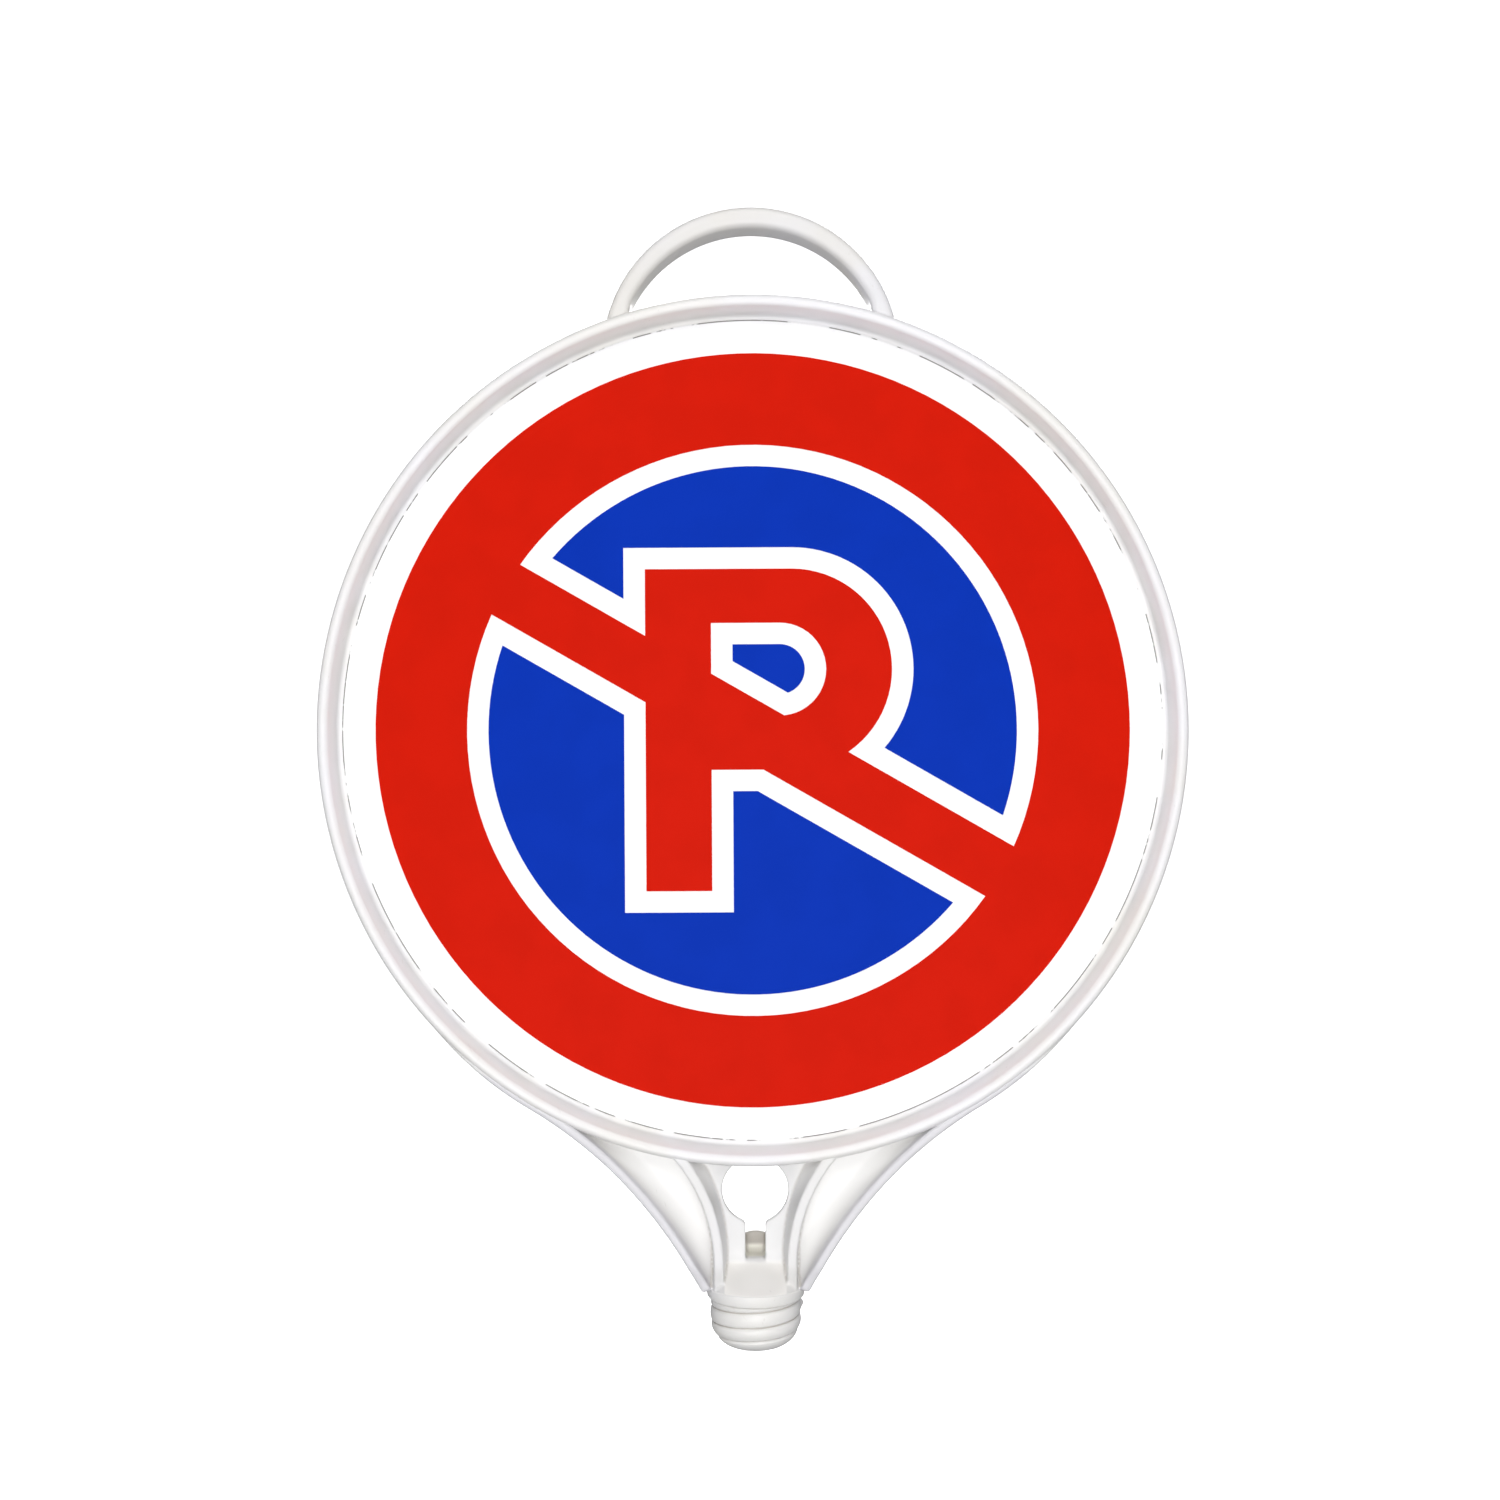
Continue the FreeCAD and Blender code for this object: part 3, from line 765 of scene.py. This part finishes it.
@dataclass
class RibbedNeck:
    """Web with a chain keyhole, curved ribs and hollow-sided flanges, in one smooth skin."""

    centre: float
    rim_radius: float
    collar_radius: float
    collar_top: float = 4.0
    buried: float = 2.2
    arc_radius: float = 159.0
    overhang: float = 0.59
    proud: float = 1.2
    foot_height: float = 2.5
    foot_round: float = 1.6
    band: float = 3.0
    band_round: float = 0.45
    valley: float = 8.3
    web_half: float = 1.5
    web_inset: float = 1.2
    web_foot: float = 5.0
    web_stop: float = 4.5
    depth_foot: float = 10.1
    depth_low: float = 11.5
    depth_top: float = 9.0
    low_height: float = 12.0
    neck_length: float = 46.0
    rib_half: float = 1.65
    rib_spread: float = 12.6
    rib_radius: float = 57.0
    rib_start: float = 12.5
    rib_buried: float = 1.0
    rib_draft: Pair = (0.9, 2.1)
    hole_radius: float = 11.45
    hole_height: float = 36.3
    hole_end: float = -66.2
    slot_half: float = 3.45
    slot_floor: float = 12.4
    shoulder: float = 2.0
    shoulder_height: float = 24.0
    shoulder_start: float = 113.9
    pocket_depth: float = 10.0
    pocket_wall: float = 2.5
    pocket_arch: float = 9.3
    pocket_top: float = 19.1
    pocket_bend: float = 3.0
    skirt_width: float = 13.5
    skirt_inset: float = 0.25
    skirt_knee: Pair = (0.71, 2.6)
    skirt_hollow: Pair = (4.2, 8.8)
    lip_half: float = 1.95
    blend_depth: float = 1.05
    blend_height: float = 5.5
    blend_drop: float = 0.75
    tail_angle: float = 27.0
    tail_thins: float = 2.2
    lap: float = 0.4
    flange_steps: int = 70
    rib_steps: int = 60
    voxel: float = 0.45
    kept_share: float = 0.62
    shell: Shell = field(default_factory=Shell)

    def __post_init__(self) -> None:
        """Find the axis of the right hollow side."""
        foot_x = self.collar_radius + self.overhang
        foot_drop = self.centre - self.foot_height
        far = hypot(foot_x, foot_drop)
        reach = self.rim_radius + self.arc_radius + self.proud
        along = (reach ** 2 - self.arc_radius ** 2 + far ** 2) / (2 * far)
        aside = sqrt(reach ** 2 - along ** 2)
        self.arc_x = (along * foot_x + aside * foot_drop) / far
        self.arc_z = self.centre - (along * foot_drop - aside * foot_x) / far
        self.inside = self.rim_radius - self.buried

    def half_depth(self, height: float) -> float:
        """Distance of the neck's front from its middle plane.

        Args:
            height: Height above the collar's seat.

        Returns:
            The half depth.
        """
        if height < self.low_height:
            share = ease(self.collar_top, self.low_height, height)
            return self.depth_foot + (self.depth_low - self.depth_foot) * share
        share = min(1.0, (height - self.low_height) / (self.neck_length - self.low_height))
        return self.depth_low + (self.depth_top - self.depth_low) * share

    def flange_section(self, depth: float, inset: float) -> list[Pair]:
        """Section of a flange and its valley: distance in from the side, and depth.

        Args:
            depth: Half depth of the flange here.
            inset: How far its outer side is drawn in, at its rounded foot.

        Returns:
            The closed section.
        """
        front = depth - inset
        floor = self.web_half - 0.06
        hollow = min(self.valley, front - floor - self.lap)
        wall = self.band + 0.25
        small = self.band_round
        half: list[Pair] = [(inset, 0.0)]
        half += arc((inset + 1.0, -(front - 1.0)), 1.0, 180, 270, 6)
        half += arc((self.band - small, -(front - small)), small, 270, 360, 4)
        half += arc((wall + hollow, -(floor + hollow)), hollow, 180, 90, 14)
        half.append((wall + hollow + 0.5, -floor))
        return half + [(u, -y) for u, y in reversed(half[1:])]

    def flanges(self) -> None:
        """Add the flanges with their valleys."""
        drop = self.centre - self.arc_z
        start = asin((self.foot_height - self.arc_z) / self.arc_radius)
        near = atan2(drop, self.arc_x)
        rows: Rows = []
        for i in range(self.flange_steps + 1):
            share = (i / self.flange_steps) ** 1.15
            angle = start + (near - start) * share
            lift = max(0.0, self.foot_round - (angle - start) * self.arc_radius)
            inset = self.foot_round - sqrt(self.foot_round ** 2 - lift ** 2)
            height = self.arc_z + self.arc_radius * sin(angle)
            row: list[Point] = []
            for u, y in self.flange_section(self.half_depth(height), inset):
                radius = self.arc_radius + u
                here = start + (self.meeting(radius, self.arc_x, drop) - start) * share
                row.append((self.arc_x - radius * cos(here), y,
                            self.arc_z + radius * sin(here)))
            rows.append(row)
        self.shell.sweep_both(rows)

    def tails(self) -> None:
        """Add the thin ends of the flanges, which run up the rim's side and fade into it."""
        first = -atan2(self.centre - self.arc_z, self.arc_x)
        rows: Rows = []
        for i in range(self.rib_steps + 1):
            share = i / self.rib_steps
            angle = first + radians(self.tail_angle * share - 2.0)
            proud = self.proud * (1 - ease(0.15, 1.0, share)) - 0.35 * share
            depth = self.depth_top - self.tail_thins * ease(0.3, 1.0, share)
            top = self.rim_radius + proud
            outline = rounded([(self.inside, -depth, 0), (top, -depth, 0.9),
                               (top, depth, 0.9), (self.inside, depth, 0)])
            rows.append([(r * cos(angle), y, self.centre + r * sin(angle))
                         for r, y in outline])
        self.shell.sweep_both(rows)

    def ribs(self) -> None:
        """Add the curved ribs, whose inner sides slope more towards the rim."""
        pivot = self.rib_spread + self.rib_radius
        foot = self.collar_top - self.rib_buried
        straight = self.rib_start - foot
        rows: Rows = []
        for i in range(self.rib_steps + 1):
            share = i / self.rib_steps
            row: list[Point] = []
            for u, y in self.rib_section(share):
                radius = self.rib_radius - u
                end = self.meeting(radius, pivot, self.centre - self.rib_start)
                run = (straight + end * radius) * share
                turn = max(0.0, run - straight) / radius
                row.append((pivot - radius * cos(turn), y,
                            min(foot + run, self.rib_start) + radius * sin(turn)))
            rows.append(row)
        self.shell.sweep_both(rows)

    def rib_section(self, share: float) -> list[Pair]:
        """Section of a rib: distance outwards from its middle, and depth.

        Args:
            share: 0 at the collar and 1 at the rim.

        Returns:
            The closed section.
        """
        height = self.collar_top + share * (self.neck_length - self.collar_top)
        depth = self.half_depth(height)
        draft = self.rib_draft[0] + self.rib_draft[1] * ease(0.1, 1.0, share)
        base = self.web_half - 0.3
        front = [(-self.rib_half - draft, -base, 0),
                 (-self.rib_half - 0.2 * draft, -(depth - 2.0), 0),
                 (-self.rib_half, -depth, self.band_round),
                 (self.rib_half, -depth, self.band_round), (self.rib_half + 0.35, -base, 0)]
        back = [(u, -y, r) for u, y, r in reversed(front)]
        return rounded(front + back, 4)

    def meeting(self, radius: float, across: float, rise: float) -> float:
        """Angle at which a circle, whose axis is across and below, meets the rim's inside."""
        gap = hypot(across, rise)
        turn = (radius ** 2 + gap ** 2 - self.inside ** 2) / (2 * radius * gap)
        return atan2(rise, across) - acos(min(1.0, turn))

    def web(self) -> None:
        """Add the web with its keyhole."""
        top = self.inside + 1.0
        drop = self.centre - self.hole_height
        lift = (top ** 2 - self.hole_radius ** 2 - drop ** 2) / (2 * drop)
        meet = degrees(asin(max(-1.0, min(1.0, -lift / self.hole_radius))))
        right = arc((0.0, self.hole_height), self.hole_radius, meet, self.hole_end, 40)
        right += arc((self.slot_half + self.shoulder, self.shoulder_height), self.shoulder,
                     self.shoulder_start, 180, 8)
        right.append((self.slot_half, self.slot_floor))
        radius = self.arc_radius + self.web_inset
        low = degrees(asin((self.web_foot - self.arc_z) / radius))
        last = degrees(atan2(self.centre - self.arc_z, self.arc_x)) - self.web_stop
        side = arc((-self.arc_x, self.arc_z), radius, low, last, 40)
        corner = atan2(-side[-1][0], self.centre - side[-1][1])
        mouth = atan2(right[0][0], self.centre - right[0][1])
        turns = [corner + (mouth - corner) * i / 40 for i in range(40)]
        half = [(-x, z) for x, z in side]
        half += [(top * sin(t), self.centre - top * cos(t)) for t in turns] + right
        loop = half + [(-x, z) for x, z in reversed(half)]
        self.shell.prism([(x, -self.web_half, z) for x, z in loop], (0.0, 2 * self.web_half, 0.0))

    def pocket(self) -> None:
        """Add the walled pocket behind the slot."""
        middle = (0.0, self.pocket_top - self.pocket_arch)
        notch = degrees(acos(self.slot_half / self.pocket_arch))
        right = arc(middle, self.pocket_arch, -60, notch, 40)
        right.append((self.slot_half, self.slot_floor))
        loop = right + [(-x, z) for x, z in reversed(right)]
        front, back, floor = self.web_half - self.lap, self.pocket_depth, self.slot_floor
        self.shell.prism([(x, front, z) for x, z in loop], (0.0, back + 0.3 - front, 0.0))
        wall = arc(middle, self.pocket_arch, -60, 240, 80)
        self.shell.prism([(x, back, z) for x, z in wall], (0.0, self.pocket_wall, 0.0))
        near, high = back - self.pocket_bend, floor + self.pocket_bend
        bend = [(back + self.lap, floor - self.lap), (near, floor - self.lap)]
        bend += arc((near, high), self.pocket_bend, -90, 0, 8) + [(back + self.lap, high)]
        half = self.slot_half + 0.3
        self.shell.prism([(-half, y, z) for y, z in bend], (2 * half, 0.0, 0.0))

    def skirt(self) -> None:
        """Add the skirt, which runs as one broad hollow slope from the collar up to the slot."""
        foot, top = self.collar_radius - self.skirt_inset, self.slot_floor - self.skirt_inset
        knee = (self.skirt_knee[0] * foot, self.collar_top + self.skirt_knee[1])
        profile = [(foot - 0.3, self.collar_top - 1.2), (foot, self.collar_top - 0.1)]
        profile += bezier(((foot, self.collar_top), knee, self.skirt_hollow,
                           (self.lip_half, top)), 24)
        turns = [(cos(2 * pi * j / 120), sin(2 * pi * j / 120)) for j in range(120)]
        rows: Rows = []
        for depth, height in profile:
            share = ease(self.collar_top, top, height)
            width = min(foot, depth) if height < self.collar_top else foot
            width += (self.skirt_width - foot) * share
            power = 2 / (2 + 3 * share)
            rows.append([(width * copysign(abs(x) ** power, x),
                          depth * copysign(abs(y) ** power, y), height) for x, y in turns])
        self.shell.sweep(rows)
        blend = [(self.web_half - 0.05 + self.blend_depth * (1 - i / 10) ** 2,
                  top - self.blend_drop + self.blend_height * i / 10) for i in range(11)]
        outline = [(-y, z) for y, z in blend] + blend[::-1]
        self.shell.sweep_both([[(x, y, z) for y, z in outline]
                               for x in (self.slot_half, self.rib_spread)])

    def build(self, material: Material) -> None:
        """Make the neck.

        Args:
            material: Its finish.
        """
        for add_part in (self.flanges, self.tails, self.ribs, self.web, self.pocket, self.skirt):
            add_part()
        made = self.shell.piece("ribbed_neck")
        skin = made.modifiers.new("skin", "REMESH")
        skin.mode = "VOXEL"
        skin.voxel_size = self.voxel * MM
        skin.adaptivity = 0.0
        relax = made.modifiers.new("relax", "SMOOTH")
        relax.factor = 0.5
        relax.iterations = 2
        thin_out = made.modifiers.new("thin_out", "DECIMATE")
        thin_out.ratio = self.kept_share
        settle(made)
        finish_piece(made, material, 180, "left_flange", "right_flange", "left_rib",
                     "right_rib", "left_panel", "right_panel", "keyhole_web")


@dataclass
class ThreadedSpigot:
    """Collar and spigot: a smooth turned skin with a helical groove between broad ridges."""

    collar_radius: float
    collar_top: float = 4.0
    seat_radius: float = 16.9
    relief_radius: float = 15.4
    relief_length: float = 0.4
    crest_radius: float = 15.8
    length: float = 17.5
    nose_radius: float = 9.8
    core_radius: float = 4.6
    core_depth: float = 15.0
    edge_round: float = 0.5
    relief_round: float = 0.3
    crest_round: float = 0.7
    mouth_round: float = 0.6
    ring_gap: float = 0.25
    groove: dict[str, float] = field(default_factory=lambda: {
        "Pitch": 5.2, "Depth": 0.85, "Half Width": 0.48, "First Groove": -2.2,
        "Last Groove": -14.2, "Least Radius": 8.0, "Lug Height": -3.0, "Lug Rise": 0.9,
        "Lug Size": 1.3})
    groove_falloff: float = 1.6
    ridge_wave: float = 0.15
    steps: int = 180

    def profile(self) -> list[Pair]:
        """Radius and height of the turned skin, from the collar's top to the core's roof.

        Returns:
            The profile's points.
        """
        edge, crest, mouth = self.edge_round, self.crest_round, self.mouth_round
        relief, below, buried = self.relief_round, -self.relief_length, self.collar_top - 0.4
        points: list[Pair] = [(0.0, buried), (6.0, buried), (12.0, self.collar_top - 0.2)]
        points += arc((self.collar_radius - edge, self.collar_top - edge), edge, 90, 8, 8)
        points += arc((self.seat_radius - edge, edge), edge, -8, -90, 6)
        points.append((self.relief_radius + edge, 0.0))
        points += arc((self.relief_radius + relief, -relief), relief, 90, 180, 4)
        points.append((self.relief_radius, below - 0.05))
        points += arc((self.crest_radius - crest, below - crest), crest, 50, 0, 5)
        tangent = self.nose_radius - self.length
        height = below - crest - self.ring_gap
        while height > tangent:
            points.append((self.crest_radius, height))
            height -= self.ring_gap
        points += arc((self.crest_radius - self.nose_radius, tangent), self.nose_radius, 0,
                      -84, 52)
        points += arc((self.core_radius + mouth, mouth - self.length), mouth, -90, -180, 5)
        roof = self.core_depth - self.length
        points += [(self.core_radius, 3.0 - self.length), (self.core_radius, roof - mouth)]
        points += arc((self.core_radius - mouth, roof - mouth), mouth, 0, 90, 4)
        points.append((0.0, roof))
        return points

    def groove_tree(self) -> bpy.types.NodeTree:
        """Geometry nodes that sink a helical groove into a turned skin and raise its lug.

        Returns:
            The tree, with named inputs for its sizes.
        """
        bench, size = open_tree("helical_groove", dict.fromkeys(self.groove, "Float"))
        across, ahead, height = bench.axes(bench.out("InputPosition", 0))
        radius = bench.math("SQRT", across * across + ahead * ahead)
        turn = bench.math("ARCTAN2", across, -ahead) / (2 * pi)
        turns = (height - size("First Groove")) / size("Pitch") - turn
        off = turns - bench.math("ROUND", turns)
        ratio = off * size("Pitch") / size("Half Width")
        shape = bench.math("EXPONENT", -(ratio * ratio) * self.groove_falloff)
        broad = self.ridge_wave * (1 + bench.math("COSINE", off * (2 * pi)))
        low = ((height - size("Last Groove")) / size("Pitch")).smooth_step(-0.25, 0.25)
        high = ((size("First Groove") - height) / size("Pitch")).smooth_step(-0.42, -0.16)
        outside = (radius / size("Least Radius")).smooth_step(0.95, 1.05)
        sink = (shape + broad) * size("Depth") * low * high * outside
        aside = (turn - 0.25) * (2 * pi) * radius / size("Lug Size")
        above = (height - size("Lug Height")) / size("Lug Size")
        lug = bench.math("EXPONENT", -(aside * aside + above * above)) * size("Lug Rise")
        push = bench.out("ShaderNodeVectorMath", 0, {"operation": "SCALE"},
                         {0: bench.out("InputNormal", 0), "Scale": lug * outside - sink})
        moved = bench.out("SetPosition", 0, None, {"Geometry": size("Geometry"), "Offset": push})
        return close_tree(bench, moved, size("Material"))

    def build(self, material: Material) -> None:
        """Make the collar and spigot.

        Args:
            material: Their finish.
        """
        shell = Shell()
        shell.lathe(self.profile(), lambda r, z, t: (r * cos(t), r * sin(t), z), self.steps)
        made = shell.piece("collar_and_spigot")
        sizes = {name: size * MM for name, size in self.groove.items()}
        apply_tree(made, self.groove_tree(), {**sizes, "Material": material})
        finish_piece(made, material, 60, "shoulder_collar", "threaded_spigot")


@dataclass
class MouldMarks:
    """Faint round witness marks of the mould's pins, and the gate's nub, on the panel's back."""

    centre: float
    panel_half: float = 2.0
    pin_radius: float = 3.5
    height: float = 0.3
    rings: tuple[tuple[int, float], ...] = ((6, 52.0), (12, 112.0))
    gate_radius: float = 2.2
    gate_height: float = 0.7

    def mark_tree(self) -> bpy.types.NodeTree:
        """Geometry nodes that set round marks evenly on a ring.

        Returns:
            The tree, with named inputs for its sizes.
        """
        bench, size = open_tree("ring_of_marks", {
            "Count": "Int", "Ring Radius": "Float", "Mark Radius": "Float",
            "Mark Height": "Float", "Offset": "Vector"})
        ring = bench.out("MeshCircle", 0, None, {"Vertices": size("Count"),
                                                 "Radius": size("Ring Radius")})
        mark = bench.out("MeshCylinder", "Mesh", None, {
            "Vertices": 40, "Radius": size("Mark Radius"), "Depth": size("Mark Height")})
        placed = bench.out("InstanceOnPoints", 0, None, {"Points": ring, "Instance": mark})
        turned = bench.out("Transform", 0, None, {
            "Geometry": placed, "Translation": size("Offset"),
            "Rotation": (pi / 2, 0.0, 0.0)})
        return close_tree(bench, turned, size("Material"))

    def build(self, material: Material) -> None:
        """Make one piece for each ring of marks, and the gate.

        Args:
            material: Their finish.
        """
        tree = self.mark_tree()
        for number, (count, radius) in enumerate(self.rings, start=1):
            name = f"pin_marks_{number}"
            made = new_object(name, bpy.data.meshes.new(name))
            apply_tree(made, tree, {
                "Count": count, "Ring Radius": radius * MM, "Mark Radius": self.pin_radius * MM,
                "Mark Height": 2 * self.height * MM,
                "Offset": (0.0, self.panel_half * MM, self.centre * MM), "Material": material})
            finish_piece(made, material, 30)
        shell = Shell()
        base, top = self.panel_half - 0.3, self.panel_half + self.gate_height
        shell.lathe([(0.0, base), (self.gate_radius, base), (self.gate_radius - 0.2, top - 0.25),
                     (self.gate_radius - 0.5, top), (0.0, top - 0.15)],
                    lambda r, y, t: (r * cos(t), y, self.centre + r * sin(t)), 40)
        finish_piece(shell.piece("gate_nub"), material, 30)


@dataclass
class PrintedFace:
    """White sheeting and the coloured films on it, which keep their own exact shapes."""

    centre: float
    sheet_radius: float
    white: PrintedFilm = PrintedFilm("white_sheet", (0.93, 0.93, 0.935))
    red: PrintedFilm = PrintedFilm("red_ink", (0.60, 0.008, 0.0))
    blue: PrintedFilm = PrintedFilm("blue_ink", (0.0, 0.030, 0.41))

    def dress(self, nodes: dict[str, Thing]) -> None:
        """Give each label node its finish.

        Args:
            nodes: The frame's nodes by name.
        """
        # The white sheeting gets the painted shadow line along its cut edge.
        edged = replace(self.white, edge_radius=self.sheet_radius)
        films = {Slot.SHEETING: edged, Slot.RED: self.red, Slot.BLUE: self.blue}
        worn = {slot: film.build(self.centre) for slot, film in films.items()}
        for name, slot in (("front_sheeting", Slot.SHEETING), ("red_film", Slot.RED),
                           ("blue_upper_field", Slot.BLUE), ("blue_lower_field", Slot.BLUE),
                           ("blue_counter", Slot.BLUE)):
            mesh = nodes[name].data
            mesh.materials.clear()
            mesh.materials.append(worn[slot])
            LOG.info("%s: dressed", name)


# ---- studio ----

@dataclass(frozen=True)
class Lamp:
    """Soft light of some power in watts, at a place in metres, which faces a point."""

    name: str
    place: Point
    size: Pair
    power: float
    aim: Point = (0.0, 0.0, 0.19)
    tint: Colour = (1.0, 1.0, 1.0)

    def build(self) -> None:
        """Make the light."""
        data = bpy.data.lights.new(self.name, "AREA")
        data.shape = "RECTANGLE"
        data.size, data.size_y = self.size
        data.energy = self.power
        data.color = self.tint
        made = new_object(self.name, data)
        made.location = self.place
        heading = Vector(self.aim) - Vector(self.place)
        made.rotation_euler = heading.to_track_quat("-Z", "Y").to_euler()


@dataclass
class Studio:
    """Pale floor that sweeps up all round the object, soft lights and camera, in metres."""

    eye: Point = (0.0, -0.643, 0.196)
    lens: float = 44.35
    shift: Pair = (-0.0018, -0.0131)
    roll: float = 0.3
    floor_height: float = -0.32
    floor_colour: Colour = (0.93, 0.93, 0.93)
    wall_radius: float = 4.5
    wall_bend: float = 1.5
    steps: int = 72
    glow: float = 1.0
    sky: float = 0.24
    lamps: tuple[Lamp, ...] = (
        Lamp("key_soft", (0.0, -1.3, 1.25), (1.2, 0.8), 10.5),
        Lamp("front_fill", (0.0, -2.0, 0.25), (1.0, 1.0), 12.5),
        Lamp("low_soft", (0.0, -1.2, -0.25), (1.4, 0.5), 7.0, aim=(0.0, 0.0, 0.1)),
        Lamp("left_soft", (-1.5, -0.5, 0.5), (0.7, 1.2), 2.5, tint=(0.97, 0.97, 1.0)),
        Lamp("right_soft", (1.5, -0.5, 0.5), (0.7, 1.2), 3.0, tint=(0.97, 0.97, 1.0)),
        Lamp("rear_soft", (0.0, 1.6, 1.0), (1.4, 1.0), 26.0))

    def camera(self) -> None:
        """Make the camera, level and square to the sign."""
        data = bpy.data.cameras.new("eye")
        data.lens = self.lens
        data.sensor_width = 36.0
        data.shift_x, data.shift_y = self.shift
        data.clip_start = 0.01
        made = new_object("eye", data)
        made.location = self.eye
        made.rotation_euler = (pi / 2, radians(self.roll), 0.0)
        bpy.context.scene.camera = made

    def backdrop(self) -> None:
        """Make the floor and the dome that it sweeps up into."""
        bend, steps = self.wall_bend, self.steps
        sweep = arc((self.wall_radius - bend, bend), bend, -90, 0, 16)
        profile: list[Pair] = [(0.001, self.floor_height)]
        profile += [(r, z + self.floor_height) for r, z in sweep]
        profile += arc((0.0, bend), self.wall_radius, 0, 89.9, 24)
        points = [(r * cos(2 * pi * j / steps), r * sin(2 * pi * j / steps), z)
                  for r, z in profile for j in range(steps)]
        faces = [(i + j, i + (j + 1) % steps, i + steps + (j + 1) % steps, i + steps + j)
                 for i in range(0, (len(profile) - 1) * steps, steps) for j in range(steps)]
        data = bpy.data.meshes.new("studio_floor")
        data.from_pydata(points, [], faces)
        data.flip_normals()
        data.shade_smooth()
        material = bpy.data.materials.new("pale_floor")
        material.use_nodes = True
        Bench(material.node_tree).feed(material.node_tree.nodes["Principled BSDF"], {
            "Base Color": (*self.floor_colour, 1.0), "Roughness": 0.9,
            "Emission Color": (1.0, 1.0, 1.0, 1.0), "Emission Strength": self.glow})
        data.materials.append(material)
        floor = new_object("studio_floor", data)
        floor.visible_diffuse = floor.visible_glossy = floor.visible_shadow = False

    def build(self) -> None:
        """Make the whole studio."""
        self.camera()
        self.backdrop()
        world = bpy.data.worlds.new("soft_sky")
        world.use_nodes = True
        Bench(world.node_tree).feed(world.node_tree.nodes["Background"], {
            "Color": (0.97, 0.98, 1.0, 1.0), "Strength": self.sky})
        bpy.context.scene.world = world
        for lamp in self.lamps:
            lamp.build()
        bpy.context.scene.view_settings.view_transform = "Standard"


def main() -> None:
    """Build every sub-assembly in order."""
    logging.basicConfig(level=logging.INFO, format="%(name)s: %(message)s")
    Studio().build()
    low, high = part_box("rim")
    centre = (low.z + high.z) / 2 / MM
    rim_radius = (high.z - low.z) / 2 / MM
    collar_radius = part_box("shoulder_collar")[1].x / MM
    sheet_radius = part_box("front_sheeting")[1].x / MM
    # The disc keeps the plain plastic; the handle, spigot and neck get darker copies of it as
    # painted shade, the spigot and neck also with painted crease shade, and the neck with painted
    # light and shade by place.
    plastic = MouldedPlastic().build()
    handle_shaded_plastic = MouldedPlastic("handle_plastic_shaded", (0.715, 0.708, 0.725),
                                    (0.70, 0.68, 0.65)).build()
    spigot_shaded_plastic = MouldedPlastic("spigot_plastic_shaded", (0.775, 0.768, 0.775),
                                    (0.76, 0.748, 0.725), crease_shading=0.9).build()
    neck = RibbedNeck(centre, rim_radius, collar_radius)
    neck_lit_and_shaded_plastic = NeckPlastic("neck_plastic_lit_and_shaded", (0.685, 0.678, 0.688), (0.67, 0.66, 0.64),
                               crease_shading=0.8, hollow_axis=(neck.arc_x, neck.arc_z)).build()
    DiscMoulding(centre, rim_radius).build(plastic)
    CarryHandle(centre, rim_radius).build(handle_shaded_plastic)
    neck.build(neck_lit_and_shaded_plastic)
    ThreadedSpigot(collar_radius).build(spigot_shaded_plastic)
    MouldMarks(centre).build(plastic)
    PrintedFace(centre, sheet_radius).dress(frame["nodes"])


if __name__ == "__main__":
    main()
